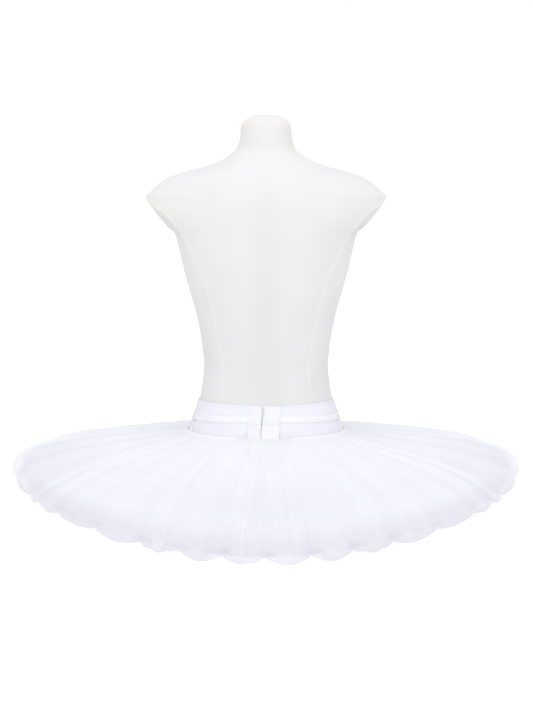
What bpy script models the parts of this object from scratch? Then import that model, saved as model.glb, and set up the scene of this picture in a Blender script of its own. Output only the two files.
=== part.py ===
"""Ballet practice tutu on a limbless dress form.

Metres, +Z up.  The form stands on its flat base at z = 0 with the origin in the
middle of that base.  The back of the garment faces +Y and its wearer's left is +X.
Every piece of cloth is a closed wall, worked out from the form's own sections
moved outwards, or, for the nets, from the hip line and the circle of the rim.
"""

import bpy
import bmesh
import numpy as np
from math import pi, radians
from mathutils import Vector

# ---------------------------------------------------------------- driving sizes

SEAM_GAP = 0.0003           # clear space between pieces that touch
STEP_CLEAR = 0.0006         # a strip stands clear of an edge it crosses by this much
STEP_RUN = 0.0030           # and comes back down to the cloth this far from the edge
FORM_EASE = 0.0018          # dress form to the inside of the basque
BASQUE_WALL = 0.0016
TAPE_WALL = 0.0010
PLACKET_WALL = 0.0012
UNDERLAP_WALL = 0.0010
YOKE_WALL = 0.0012
NET_WALL = 0.0012

BASQUE_TOP = 0.2552
BASQUE_BOTTOM = 0.1980
BASQUE_LEVELS = (BASQUE_BOTTOM, 0.2170, 0.2370, BASQUE_TOP)
TAPE_LOW_AT_SIDE = 0.2194
TAPE_WIDTH = 0.0130
TAPE_RISE_AT_BACK = 0.0055  # the tape climbs towards centre back
SIDE_TAPE_TOP = 0.2285
SIDE_TAPE_ANGLE = radians(12.0)     # the strips sit a little behind the side seams
SIDE_TAPE_HALF_ANGLE = radians(4.5)
YOKE_BOTTOM = 0.1440
YOKE_LEVELS = (YOKE_BOTTOM, 0.1700, BASQUE_BOTTOM - SEAM_GAP)

SLIT_HALF_TOP = 0.0021      # half the centre-back opening, at the top edge
SLIT_HALF_LOW = 0.0006
SLIT_MIDDLE_TOP = 0.0070    # the opening hangs a little to the wearer's left
SLIT_MIDDLE_LOW = 0.0100
PLACKET_LEFT_WIDTH = 0.0225
PLACKET_RIGHT_WIDTH = 0.0310
PLACKET_FLARE = 0.0050      # how far the lower ends stand out over the plate
PLACKET_FLARE_POWER = 1.5
PLACKET_SPANS = 3           # faces across a placket
PLACKET_TOP = 0.2535
PLACKET_LOW = 0.1995
UNDERLAP_HALF_WIDTH = 0.012
UNDERLAP_LEVELS = (BASQUE_BOTTOM + SEAM_GAP, 0.2270, BASQUE_TOP - SEAM_GAP)

AROUND = 48                 # columns round the body for form, basque, tape and yoke

# Plate of net
PLATE_RADIUS = 0.4500
HEM_UNEVEN = 0.0040         # the rim reaches out at front, back and sides, and draws in between
PLATE_DROOP_SIDE = 0.0520   # fall from the hip to the rim, at the sides
PLATE_DROOP_FRONT = 0.0530  # further fall at centre front
PLATE_DROOP_BACK = 0.0800   # further fall at centre back
PLATE_BACK_POWER = 1.05     # the back half falls quickly, starting at the side seams
PLATE_FLAT_SHARE = 0.60     # share of the fall that is a straight slope
PLATE_CURL_POWER = 5.4      # the rest curls down close to the rim
NET_COUNT = 5
NET_ROOT_PITCH = 0.0100     # rows of stitching down the yoke
NET_RIM_PITCH = 0.0050      # spread of the rims
LOWER_NET_SHORTER = 0.0135  # the second net ends inside the top one
LOWER_NET_STEP = 0.0050     # and each next net is this much shorter still
SCALLOP_DEPTH = 0.0090      # depth of the notches at centre front and centre back
SCALLOP_DEPTH_SIDE = 0.0035  # they grow shallow towards the sides
SCALLOP_STAGGER = 4.2       # turn of each net against the one above, in degrees
# Notches between the uneven scallops of one quarter of the top net, in degrees.
# The quarter is mirrored into a half, and the half is repeated.
QUARTER_NOTCHES = (0.0, 12.0, 25.6, 30.3, 38.1, 50.5, 62.5, 71.6, 80.9)

# Form and hip sections: a row for each level.  Depths run from the origin's
# plane, "back" towards +Y and "front" towards -Y.
BODY_COLUMNS = ("height", "half_width", "back", "front", "squareness")
BODY_ROWS = (
    (0.0000, 0.1590, 0.1080, 0.0960, 2.20),
    (0.0450, 0.1640, 0.1150, 0.1020, 2.20),
    (0.0900, 0.1630, 0.1160, 0.1050, 2.20),
    (0.1400, 0.1535, 0.1095, 0.1040, 2.15),
    (0.1700, 0.1450, 0.1045, 0.1020, 2.15),
    (0.1980, 0.1366, 0.0993, 0.0990, 2.10),
    (0.2270, 0.1266, 0.0905, 0.0960, 2.10),
    (0.2552, 0.1187, 0.0817, 0.0930, 2.10),
    (0.2850, 0.1138, 0.0770, 0.0905, 2.10),
    (0.3149, 0.1112, 0.0755, 0.0895, 2.10),
    (0.3600, 0.1154, 0.0785, 0.0925, 2.15),
    (0.4033, 0.1232, 0.0850, 0.0995, 2.20),
    (0.4464, 0.1350, 0.0925, 0.1120, 2.20),
    (0.4894, 0.1468, 0.0985, 0.1270, 2.20),
    (0.5250, 0.1545, 0.1020, 0.1340, 2.20),
    (0.5535, 0.1626, 0.1035, 0.1310, 2.15),
    (0.5660, 0.1830, 0.1035, 0.1270, 2.05),
    (0.5850, 0.2060, 0.1025, 0.1190, 2.00),
    (0.6010, 0.2145, 0.1005, 0.1100, 1.95),
    (0.6173, 0.2125, 0.0975, 0.1000, 1.90),
    (0.6279, 0.2024, 0.0950, 0.0930, 1.90),
    (0.6385, 0.1905, 0.0915, 0.0850, 1.90),
    (0.6491, 0.1748, 0.0870, 0.0770, 1.90),
    (0.6596, 0.1472, 0.0790, 0.0710, 1.90),
    (0.6702, 0.1059, 0.0700, 0.0655, 1.95),
    (0.6807, 0.0794, 0.0615, 0.0615, 2.00),
    (0.6913, 0.0627, 0.0545, 0.0585, 2.00),
    (0.7050, 0.0500, 0.0480, 0.0560, 2.00),
    (0.7230, 0.0456, 0.0435, 0.0540, 2.00),
    (0.7390, 0.0444, 0.0395, 0.0510, 2.00),
    (0.7500, 0.0385, 0.0335, 0.0455, 2.00),
    (0.7570, 0.0270, 0.0230, 0.0355, 2.00),
)
CAP_TOP = 0.7604
SHOULDER_TIP = (0.2075, 0.6080)     # across and up: the cut runs tip to armpit
ARMPIT = (0.1630, 0.5535)
SHOULDER_BEVEL = 0.0035

# Largest folds of the top net: angles at hip and rim, from the wearer's left
# round to the back, then height, width, and where the fold starts and ends
# between hip (0) and rim (1).
FOLD_COLUMNS = ("hip_angle", "rim_angle", "rise", "half_angle", "start", "end")
FOLD_ROWS = (
    (89.0, 87.0, 0.0035, 3.8, 0.25, 1.00),
    (62.0, 68.5, 0.0040, 4.5, 0.05, 0.95),
    (118.0, 111.5, 0.0040, 4.5, 0.05, 0.95),
    (42.0, 44.0, 0.0030, 5.0, 0.15, 1.00),
    (138.0, 136.0, 0.0030, 5.0, 0.15, 1.00),
    (15.0, 13.0, 0.0030, 5.0, 0.20, 1.00),
    (165.0, 167.0, 0.0030, 5.0, 0.20, 1.00),
    (-22.0, -24.0, 0.0030, 5.0, 0.15, 1.00),
    (202.0, 204.0, 0.0030, 5.0, 0.15, 1.00),
    (-58.0, -60.0, 0.0035, 4.5, 0.10, 1.00),
    (236.0, 238.0, 0.0035, 4.5, 0.10, 1.00),
    (270.0, 272.0, 0.0030, 4.5, 0.20, 1.00),
)

# Each gather is one scallop at the rim.  A gather's columns are given by their
# rise (share of the gather's height) and by how much of the scallop is cut away.
GATHER_COLUMNS = ("rise", "cut_away")
TOP_GATHER_ROWS = ((1.0, 1.0), (0.0, 0.22), (-1.0, 0.12), (0.0, 0.22))
LOWER_GATHER_ROWS = ((-1.0, 1.0), (0.5, 0.12), (0.5, 0.12))
TOP_NET_STATIONS = (0.0, 0.14, 0.40, 0.64, 0.82, 0.93, 1.0)
LOWER_NET_STATIONS = (0.0, 0.52, 0.84, 1.0)
GATHER_HEIGHT_HIP = 0.0006
GATHER_HEIGHT_RIM = 0.0018
GATHER_FROM = 0.15          # share of the way to the rim where gathers are full
FOLD_HOLD = 0.85            # a fold stands full from this share of its length on
SCALLOP_POWER = 4           # the scallops fade quickly inwards from the rim

FINISHES = {
    "form": ((0.880, 0.872, 0.862), 0.42),
    "basque": ((0.890, 0.905, 0.960), 0.38),
    "tape": ((0.905, 0.905, 0.950), 0.62),
    "placket": ((0.900, 0.900, 0.930), 0.60),
    "underlap": ((0.620, 0.640, 0.740), 0.70),
    "net": ((0.880, 0.880, 0.960), 0.80),
}


# ---------------------------------------------------------------- small helpers

def rows_as_columns(names, rows):
    """A table's columns by name, as arrays."""
    return dict(zip(names, np.array(rows, dtype=float).T))


BODY = rows_as_columns(BODY_COLUMNS, BODY_ROWS)
FOLDS = rows_as_columns(FOLD_COLUMNS, FOLD_ROWS)
TOP_GATHER = rows_as_columns(GATHER_COLUMNS, TOP_GATHER_ROWS)
LOWER_GATHER = rows_as_columns(GATHER_COLUMNS, LOWER_GATHER_ROWS)


def smooth_value(knots, values, at):
    """Value of a smooth curve through the knots that never overshoots them."""
    steps = np.diff(knots)
    slopes = np.diff(values) / steps
    tangents = np.zeros(len(knots))
    tangents[0], tangents[-1] = slopes[0], slopes[-1]
    rising = slopes[:-1] * slopes[1:] > 0.0
    both = np.where(rising, slopes[:-1] + slopes[1:], 1.0)
    tangents[1:-1] = np.where(rising, 2.0 * slopes[:-1] * slopes[1:] / both, 0.0)
    i = int(np.clip(np.searchsorted(knots, at) - 1, 0, len(steps) - 1))
    t = (at - knots[i]) / steps[i]
    start = (1.0 + 2.0 * t) * (1.0 - t) ** 2 * values[i]
    end = t * t * (3.0 - 2.0 * t) * values[i + 1]
    lean = steps[i] * t * (1.0 - t) * ((1.0 - t) * tangents[i] - t * tangents[i + 1])
    return start + end + lean


def body_point(angle, height, out=0.0):
    """Point on the body's section at a height, moved outwards by `out`.

    `angle` runs from the wearer's left (+X) round to the back (+Y)."""
    size = {name: smooth_value(BODY["height"], BODY[name], height) for name in BODY_COLUMNS[1:]}
    c, s = np.cos(angle), np.sin(angle)
    depth = size["back"] if s >= 0.0 else size["front"]
    power = 2.0 / size["squareness"]
    x = size["half_width"] * np.sign(c) * abs(c) ** power
    y = depth * np.sign(s) * abs(s) ** power
    slope = np.array((x / size["half_width"] ** 2, y / depth ** 2))
    slope /= np.linalg.norm(slope)
    return Vector((x + out * slope[0], y + out * slope[1], height))


def add_material(name, finish):
    colour, roughness = FINISHES[finish]
    material = bpy.data.materials.new(name)
    material.use_nodes = True
    material.diffuse_color = (*colour, 1.0)
    shader = material.node_tree.nodes["Principled BSDF"]
    shader.inputs["Base Color"].default_value = (*colour, 1.0)
    shader.inputs["Roughness"].default_value = roughness
    shader.inputs["Metallic"].default_value = 0.0
    return material


def add_object(name, bm, finish, smooth_angle=35.0):
    """Close a bmesh into a named object with its own material."""
    bmesh.ops.recalc_face_normals(bm, faces=bm.faces[:])
    mesh = bpy.data.meshes.new(name)
    bm.to_mesh(mesh)
    bm.free()
    mesh.shade_smooth()
    mesh.set_sharp_from_angle(angle=radians(smooth_angle))
    mesh.materials.append(add_material(name, finish))
    part = bpy.data.objects.new(name, mesh)
    bpy.context.scene.collection.objects.link(part)
    return part


def add_wall(name, outer, inner, finish, closed_round):
    """Closed wall between two grids of points, [row][column].

    `closed_round` joins the last column to the first, which makes a tube."""
    bm = bmesh.new()
    outside = [[bm.verts.new(p) for p in row] for row in outer]
    inside = [[bm.verts.new(p) for p in row] for row in inner]
    rows, columns = len(outer), len(outer[0])
    spans = columns if closed_round else columns - 1
    for r in range(rows - 1):
        for c in range(spans):
            d = (c + 1) % columns
            bm.faces.new((outside[r][c], outside[r][d], outside[r + 1][d], outside[r + 1][c]))
            bm.faces.new((inside[r][d], inside[r][c], inside[r + 1][c], inside[r + 1][d]))
    for c in range(spans):
        d = (c + 1) % columns
        bm.faces.new((outside[0][d], outside[0][c], inside[0][c], inside[0][d]))
        bm.faces.new((outside[-1][c], outside[-1][d], inside[-1][d], inside[-1][c]))
    if not closed_round:
        for r in range(rows - 1):
            bm.faces.new((outside[r][0], outside[r + 1][0], inside[r + 1][0], inside[r][0]))
            bm.faces.new((outside[r + 1][-1], outside[r][-1], inside[r][-1], inside[r + 1][-1]))
    return add_object(name, bm, finish)


# ---------------------------------------------------------------- dress form

def cut_shoulder(bm, side):
    """Cut the arm off in the plane through shoulder tip and armpit."""
    tip = Vector((side * SHOULDER_TIP[0], 0.0, SHOULDER_TIP[1]))
    pit = Vector((side * ARMPIT[0], 0.0, ARMPIT[1]))
    along = (tip - pit).normalized()
    outward = Vector((side * along.z, 0.0, -abs(along.x)))
    arm = [f for f in bm.faces if all(v.co.z > pit.z - SEAM_GAP and side * v.co.x > 0.0 for v in f.verts)]
    edges = {e for f in arm for e in f.edges}
    verts = {v for f in arm for v in f.verts}
    cut = bmesh.ops.bisect_plane(bm, geom=list(verts) + list(edges) + arm,
                                 plane_co=pit, plane_no=outward, clear_outer=True)
    rim = [e for e in cut["geom_cut"] if isinstance(e, bmesh.types.BMEdge)]
    face = bmesh.ops.contextual_create(bm, geom=rim)["faces"]
    edges = list({e for f in face for e in f.edges})
    bmesh.ops.bevel(bm, geom=edges, offset=SHOULDER_BEVEL, segments=1, affect="EDGES",
                    clamp_overlap=True)


def make_dress_form():
    bm = bmesh.new()
    angles = [2.0 * pi * c / AROUND for c in range(AROUND)]
    rings = [[bm.verts.new(body_point(a, z)) for a in angles] for z in BODY["height"]]
    for low, high in zip(rings, rings[1:]):
        for c in range(AROUND):
            d = (c + 1) % AROUND
            bm.faces.new((low[c], low[d], high[d], high[c]))
    bm.faces.new(rings[0][::-1])
    middle = (BODY["back"][-1] - BODY["front"][-1]) / 2.0
    top = bm.verts.new((0.0, middle, CAP_TOP))
    for c in range(AROUND):
        bm.faces.new((rings[-1][c], rings[-1][(c + 1) % AROUND], top))
    for side in (1.0, -1.0):
        cut_shoulder(bm, side)
    return add_object("dress_form", bm, "form")


# ---------------------------------------------------------------- basque and trims

BASQUE_IN = FORM_EASE
BASQUE_OUT = BASQUE_IN + BASQUE_WALL
TAPE_OUT = BASQUE_OUT + SEAM_GAP + TAPE_WALL


def beside_slit(side, height, away=0.0):
    """Distance from the centre line to a point beside the back opening.

    `side` is +1 for the opening's left edge, -1 for its right one and 0 for its middle."""
    share = (height - BASQUE_BOTTOM) / (BASQUE_TOP - BASQUE_BOTTOM)
    middle = SLIT_MIDDLE_LOW + (SLIT_MIDDLE_TOP - SLIT_MIDDLE_LOW) * share
    half = SLIT_HALF_LOW + (SLIT_HALF_TOP - SLIT_HALF_LOW) * share
    return middle + side * (half + away)


def tape_low(angle):
    """Height of the tape's lower edge: it climbs towards centre back."""
    return TAPE_LOW_AT_SIDE + TAPE_RISE_AT_BACK * max(0.0, np.sin(angle)) ** 2


def angle_at_width(x, height):
    """Angle of the back point that lies `x` from the centre line."""
    half_width = smooth_value(BODY["height"], BODY["half_width"], height)
    power = smooth_value(BODY["height"], BODY["squareness"], height) / 2.0
    return pi / 2.0 - np.sign(x) * (pi / 2.0 - np.arccos((abs(x) / half_width) ** power))


def seam_angle(height):
    """Half a seam gap, as an angle, at the side of the body."""
    return SEAM_GAP / 2.0 / smooth_value(BODY["height"], BODY["back"], height)


def band(name, angles_at, heights_at, inner_out, outer_out, finish):
    """Wall lying round the body between two distances out from it.

    `angles_at(height)` gives the columns; `heights_at(angle)` the rows."""
    grids = []
    for out in (outer_out, inner_out):
        start = angles_at(heights_at(pi / 2.0)[0])
        rows = []
        for r in range(len(heights_at(start[0]))):
            row = []
            for c, first_angle in enumerate(start):
                height = heights_at(first_angle)[r]
                row.append(body_point(angles_at(height)[c], height, out))
            rows.append(row)
        grids.append(rows)
    return add_wall(name, grids[0], grids[1], finish, closed_round=False)


def half_back_angles(side):
    """Columns of a back panel, from its side seam to the opening."""
    steps = AROUND // 4

    def angles(height):
        seam = seam_angle(height)
        edge = angle_at_width(beside_slit(side, height), height)
        inner = [2.0 * pi * c / AROUND for c in range(1, steps)]
        if side > 0:
            return [seam] + inner + [edge]
        return [pi - a for a in [seam] + inner] + [pi / 2.0, edge]

    return angles


def front_angles(height):
    seam = seam_angle(height)
    inner = [-pi + 2.0 * pi * c / AROUND for c in range(1, AROUND // 2)]
    return [-pi + seam] + inner + [-seam]


def tape_angles(height):
    """Columns of the waist tape, from one side of the opening round to the other."""
    start, end = (angle_at_width(beside_slit(side, height), height) for side in (-1.0, 1.0))
    inner = [pi / 2.0 + 2.0 * pi * c / AROUND for c in range(AROUND)]
    return [start] + inner + [2.0 * pi + end]


def make_basque():
    panels = (
        ("basque_front", front_angles),
        ("basque_back_left", half_back_angles(1.0)),
        ("basque_back_right", half_back_angles(-1.0)),
    )
    for name, angles in panels:
        band(name, angles, lambda angle: BASQUE_LEVELS, BASQUE_IN, BASQUE_OUT, "basque")


def make_waist_tape():
    def heights(angle):
        low = tape_low(angle)
        return (low, low + TAPE_WIDTH)

    band("waist_tape", tape_angles, heights, BASQUE_OUT + SEAM_GAP, TAPE_OUT, "tape")


def strip_rows(angle, top, low):
    """Heights and clearances of a strip that lies over the tape and the basque."""
    tape_from = tape_low(angle)
    tape_to = tape_from + TAPE_WIDTH
    over_basque = BASQUE_OUT + SEAM_GAP
    over_tape = TAPE_OUT + SEAM_GAP
    rows = [(low, over_basque), (tape_from - STEP_RUN, over_basque), (tape_from - STEP_CLEAR, over_tape)]
    if top > tape_to:
        rows += [(tape_to + STEP_CLEAR, over_tape), (tape_to + STEP_RUN, over_basque), (top, over_basque)]
    else:
        rows.append((top, over_tape))
    return rows


def make_side_tapes():
    for name, middle in (("side_tape_left", SIDE_TAPE_ANGLE),
                         ("side_tape_right", pi - SIDE_TAPE_ANGLE)):
        columns = [middle + k * SIDE_TAPE_HALF_ANGLE for k in (-1.0, 0.0, 1.0)]
        rows = strip_rows(middle, SIDE_TAPE_TOP, BASQUE_BOTTOM + 2.0 * SEAM_GAP)
        inner = [[body_point(a, z, out) for a in columns] for z, out in rows]
        outer = [[body_point(a, z, out + TAPE_WALL) for a in columns] for z, out in rows]
        add_wall(name, outer, inner, "tape", closed_round=False)


def make_plackets():
    """Stiff strips beside the opening; below the tape they stand out over the plate."""
    for name, side, width in (("placket_left", 1.0, PLACKET_LEFT_WIDTH),
                              ("placket_right", -1.0, PLACKET_RIGHT_WIDTH)):
        rows = strip_rows(pi / 2.0, PLACKET_TOP, PLACKET_LOW)
        flare_from = rows[1][0]
        inner, outer = [], []
        for z, out in rows:
            drop = max(0.0, (flare_from - z) / (flare_from - PLACKET_LOW))
            out += PLACKET_FLARE * drop ** PLACKET_FLARE_POWER
            across = [width * k / PLACKET_SPANS for k in range(PLACKET_SPANS + 1)]
            angles = [angle_at_width(beside_slit(side, z, x), z) for x in across]
            inner.append([body_point(a, z, out) for a in angles])
            outer.append([body_point(a, z, out + PLACKET_WALL) for a in angles])
        add_wall(name, outer, inner, "placket", closed_round=False)


def make_underlap():
    near = (FORM_EASE - UNDERLAP_WALL) / 2.0
    inner, outer = [], []
    for z in UNDERLAP_LEVELS:
        middle = beside_slit(0.0, z)
        angles = [angle_at_width(middle + UNDERLAP_HALF_WIDTH * k, z) for k in (1.0, 0.5, 0.0, -0.5, -1.0)]
        inner.append([body_point(a, z, near) for a in angles])
        outer.append([body_point(a, z, near + UNDERLAP_WALL) for a in angles])
    add_wall("placket_underlap", outer, inner, "underlap", closed_round=False)


def make_hip_yoke():
    angles = [2.0 * pi * c / AROUND for c in range(AROUND)]
    inner = [[body_point(a, z, BASQUE_IN) for a in angles] for z in YOKE_LEVELS]
    outer = [[body_point(a, z, BASQUE_IN + YOKE_WALL) for a in angles] for z in YOKE_LEVELS]
    add_wall("hip_yoke", outer, inner, "basque", closed_round=True)


# ---------------------------------------------------------------- nets

def notch_angles():
    """Notches between scallops all the way round, in degrees, closed at 360."""
    half = QUARTER_NOTCHES + (90.0,) + tuple(180.0 - a for a in reversed(QUARTER_NOTCHES[1:]))
    return half + tuple(180.0 + a for a in half) + (360.0,)


def column_angles(layer, per_gather):
    """Angles of a net's columns: each scallop is shared out evenly between its notches."""
    notches = notch_angles()
    turn = SCALLOP_STAGGER * layer
    return [radians(start + turn + (end - start) * k / per_gather)
            for start, end in zip(notches, notches[1:]) for k in range(per_gather)]


def plate_fall(angle, along):
    """Fall of the plate below the hip line at a share of the way to the rim."""
    turned = np.sin(angle)
    if turned > 0.0:
        total = PLATE_DROOP_SIDE + PLATE_DROOP_BACK * turned ** PLATE_BACK_POWER
    else:
        total = PLATE_DROOP_SIDE + PLATE_DROOP_FRONT * turned ** 2
    return total * (PLATE_FLAT_SHARE * along + (1.0 - PLATE_FLAT_SHARE) * along ** PLATE_CURL_POWER)


def fold_rise(angle, along):
    """Height of the largest folds of the top net at a point of it."""
    centre = np.radians(FOLDS["hip_angle"] + (FOLDS["rim_angle"] - FOLDS["hip_angle"]) * along)
    away = np.abs((angle - centre + pi) % (2.0 * pi) - pi) / np.radians(FOLDS["half_angle"])
    across = np.where(away < 1.0, np.cos(away * pi / 2.0) ** 2, 0.0)
    length = FOLDS["end"] - FOLDS["start"]
    share = np.maximum((along - FOLDS["start"]) / length, 0.0)
    standing = np.sin(pi / 2.0 * np.minimum(share / FOLD_HOLD, 1.0))
    return float(np.sum(FOLDS["rise"] * across * standing))


def shorter_by(layer, angle):
    """How far inside the top net's rim a lower net ends."""
    return LOWER_NET_SHORTER + (layer - 1) * LOWER_NET_STEP if layer else 0.0


def net_point(layer, angle, gather, along, wall_side):
    """A point of one net; `wall_side` is +1 on top of the wall and -1 under it.

    `gather` holds the rise and the cut-away share of this column of a gather."""
    root_height = BASQUE_BOTTOM - SEAM_GAP - NET_WALL / 2.0 - layer * NET_ROOT_PITCH
    root = body_point(angle, root_height, BASQUE_IN + YOKE_WALL + SEAM_GAP)
    full_radius = PLATE_RADIUS + HEM_UNEVEN * np.cos(4.0 * angle) - shorter_by(layer, angle)
    depth = SCALLOP_DEPTH_SIDE + (SCALLOP_DEPTH - SCALLOP_DEPTH_SIDE) * np.sin(angle) ** 4
    rim_radius = full_radius - depth * gather["cut_away"] * along ** SCALLOP_POWER
    rim = rim_radius * Vector((np.cos(angle), np.sin(angle)))
    place = root.xy.lerp(rim, along)
    reach = along * (rim_radius - root.xy.length) / (PLATE_RADIUS - root.xy.length)
    gather_height = GATHER_HEIGHT_HIP + (GATHER_HEIGHT_RIM - GATHER_HEIGHT_HIP) * along
    rise = min(1.0, along / GATHER_FROM) * gather_height * gather["rise"]
    if layer == 0:
        rise += fold_rise(angle, along)
    spread = layer * (NET_RIM_PITCH - NET_ROOT_PITCH) * reach
    height = root_height - spread - plate_fall(angle, reach) + rise
    return Vector((place.x, place.y, height + wall_side * NET_WALL / 2.0))


def make_nets():
    for layer in range(NET_COUNT):
        table = LOWER_GATHER if layer else TOP_GATHER
        stations = LOWER_NET_STATIONS if layer else TOP_NET_STATIONS
        per_gather = len(table["rise"])
        angles = column_angles(layer, per_gather)
        gathers = [{name: table[name][c % per_gather] for name in GATHER_COLUMNS}
                   for c in range(len(angles))]
        top, under = (
            [[net_point(layer, a, g, along, side) for a, g in zip(angles, gathers)]
             for along in stations]
            for side in (1.0, -1.0)
        )
        add_wall(f"net_{layer + 1}", top, under, "net", closed_round=True)


# ---------------------------------------------------------------- build

def main():
    for old in list(bpy.data.objects):
        bpy.data.objects.remove(old, do_unlink=True)
    make_dress_form()
    make_basque()
    make_waist_tape()
    make_side_tapes()
    make_plackets()
    make_underlap()
    make_hip_yoke()
    make_nets()


main()
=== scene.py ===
"""Looks of a ballet practice tutu that sits on a limbless dress form.

Metres, +Z up.  The back of the garment faces +Y and its wearer's left is +X.
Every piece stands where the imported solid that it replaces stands.  The opening, the tape,
the feet of the plackets and the root of the top net lie up to 3 mm from theirs.
"""

from collections import namedtuple
from functools import partial
from math import pi, radians

import bmesh
import bpy
import numpy as np
from bpy.props import FloatProperty, FloatVectorProperty, IntProperty, PointerProperty
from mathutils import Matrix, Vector


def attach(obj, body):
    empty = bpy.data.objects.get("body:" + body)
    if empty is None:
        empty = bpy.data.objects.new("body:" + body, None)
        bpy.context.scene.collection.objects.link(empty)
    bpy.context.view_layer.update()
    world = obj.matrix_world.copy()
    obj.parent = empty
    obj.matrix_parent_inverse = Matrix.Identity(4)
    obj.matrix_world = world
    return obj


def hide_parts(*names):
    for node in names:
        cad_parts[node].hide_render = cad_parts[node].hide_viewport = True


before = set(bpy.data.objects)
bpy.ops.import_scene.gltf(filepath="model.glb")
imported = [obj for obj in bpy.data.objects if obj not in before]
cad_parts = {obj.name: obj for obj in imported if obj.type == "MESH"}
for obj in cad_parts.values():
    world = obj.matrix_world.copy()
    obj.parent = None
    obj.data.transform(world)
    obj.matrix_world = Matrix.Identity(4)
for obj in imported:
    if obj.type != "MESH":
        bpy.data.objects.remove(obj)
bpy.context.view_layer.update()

bl_info = {
    "name": "Ballet Tutu on a Dress Form",
    "version": (1, 0, 0),
    "blender": (4, 5, 0),
    "location": "3D View > Sidebar > Tutu",
    "description": "Builds a practice tutu with a plate of gathered net on a dress form",
    "category": "Add Mesh",
}

BODY_NAME = "root"


# ---------------------------------------------------------------- sizes

SEAM_GAP = 0.0003               # clear space between pieces that touch
STEP_CLEAR = 0.0006             # a strip stands clear of an edge it crosses by this much
STEP_RUN = 0.0030               # and comes back down to the cloth this far from the edge
FORM_EASE = 0.0018              # dress form to the inside of the basque
BASQUE_TOP = 0.2552
BASQUE_BOTTOM = 0.1980
TAPE_LOW_AT_SIDE = 0.2206
TAPE_RISE_AT_BACK = 0.0055
SIDE_TAPE_TOP = 0.2285
YOKE_BOTTOM = 0.1440
YOKE_WALL = 0.0012
SLIT_HALF_TOP = 0.0026          # half the centre-back opening, at the top edge
SLIT_HALF_LOW = 0.00015
SLIT_POWER = 2.2                # how late it widens on the way up
SLIT_MIDDLE_TOP = 0.0048        # it hangs a little to the wearer's left
SLIT_MIDDLE_LOW = 0.0094
PLACKET_TOP = 0.2535
PLACKET_LOW = 0.1985
NET_ROOT_PITCH = 0.0100         # rows of stitching down the yoke
NET_RIM_PITCH = 0.0050          # spread of the rims
NET_WIDTH = 0.3150              # cut width of the top net
HEM_UNEVEN = 0.0040             # the rim reaches out at front, back and sides
PLATE_BACK_POWER = 1.05         # the back half falls quickly, starting at the side seams
PLATE_FLAT_SHARE = 0.60         # share of the fall that is a straight slope
PLATE_CURL_POWER = 5.4          # the rest curls down close to the rim
NET_COUNT = 5
SCALLOP_STAGGER = 4.2           # turn of each net against the one above, in degrees
QUARTER_NOTCHES = (0.0, 12.0, 25.6, 30.3, 38.1, 50.5, 62.5, 71.6, 80.9)
CAP_TOP = 0.7604
SHOULDER_TIP = (0.2075, 0.6080)
ARMPIT = (0.1630, 0.5535)

BODY_COLUMNS = ("height", "half_width", "back", "front", "squareness")
BODY_ROWS = (
    (0.0000, 0.1590, 0.1080, 0.0960, 2.20),
    (0.0450, 0.1640, 0.1150, 0.1020, 2.20),
    (0.0900, 0.1630, 0.1160, 0.1050, 2.20),
    (0.1400, 0.1535, 0.1095, 0.1040, 2.15),
    (0.1700, 0.1450, 0.1045, 0.1020, 2.15),
    (0.1980, 0.1366, 0.0993, 0.0990, 2.10),
    (0.2270, 0.1266, 0.0905, 0.0960, 2.10),
    (0.2552, 0.1187, 0.0817, 0.0930, 2.10),
    (0.2850, 0.1138, 0.0770, 0.0905, 2.10),
    (0.3149, 0.1112, 0.0755, 0.0895, 2.10),
    (0.3600, 0.1154, 0.0785, 0.0925, 2.15),
    (0.4033, 0.1232, 0.0850, 0.0995, 2.20),
    (0.4464, 0.1350, 0.0925, 0.1120, 2.20),
    (0.4894, 0.1468, 0.0985, 0.1270, 2.20),
    (0.5250, 0.1545, 0.1020, 0.1340, 2.20),
    (0.5535, 0.1626, 0.1035, 0.1310, 2.15),
    (0.5660, 0.1830, 0.1035, 0.1270, 2.05),
    (0.5850, 0.2060, 0.1025, 0.1190, 2.00),
    (0.6010, 0.2145, 0.1005, 0.1100, 1.95),
    (0.6173, 0.2125, 0.0975, 0.1000, 1.90),
    (0.6279, 0.2024, 0.0950, 0.0930, 1.90),
    (0.6385, 0.1905, 0.0915, 0.0850, 1.90),
    (0.6491, 0.1748, 0.0870, 0.0770, 1.90),
    (0.6596, 0.1472, 0.0790, 0.0710, 1.90),
    (0.6702, 0.1059, 0.0700, 0.0655, 1.95),
    (0.6807, 0.0794, 0.0615, 0.0615, 2.00),
    (0.6913, 0.0627, 0.0545, 0.0585, 2.00),
    (0.7050, 0.0500, 0.0480, 0.0560, 2.00),
    (0.7230, 0.0456, 0.0435, 0.0540, 2.00),
    (0.7390, 0.0444, 0.0395, 0.0510, 2.00),
    (0.7500, 0.0385, 0.0335, 0.0455, 2.00),
    (0.7570, 0.0270, 0.0230, 0.0355, 2.00),
)

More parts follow.
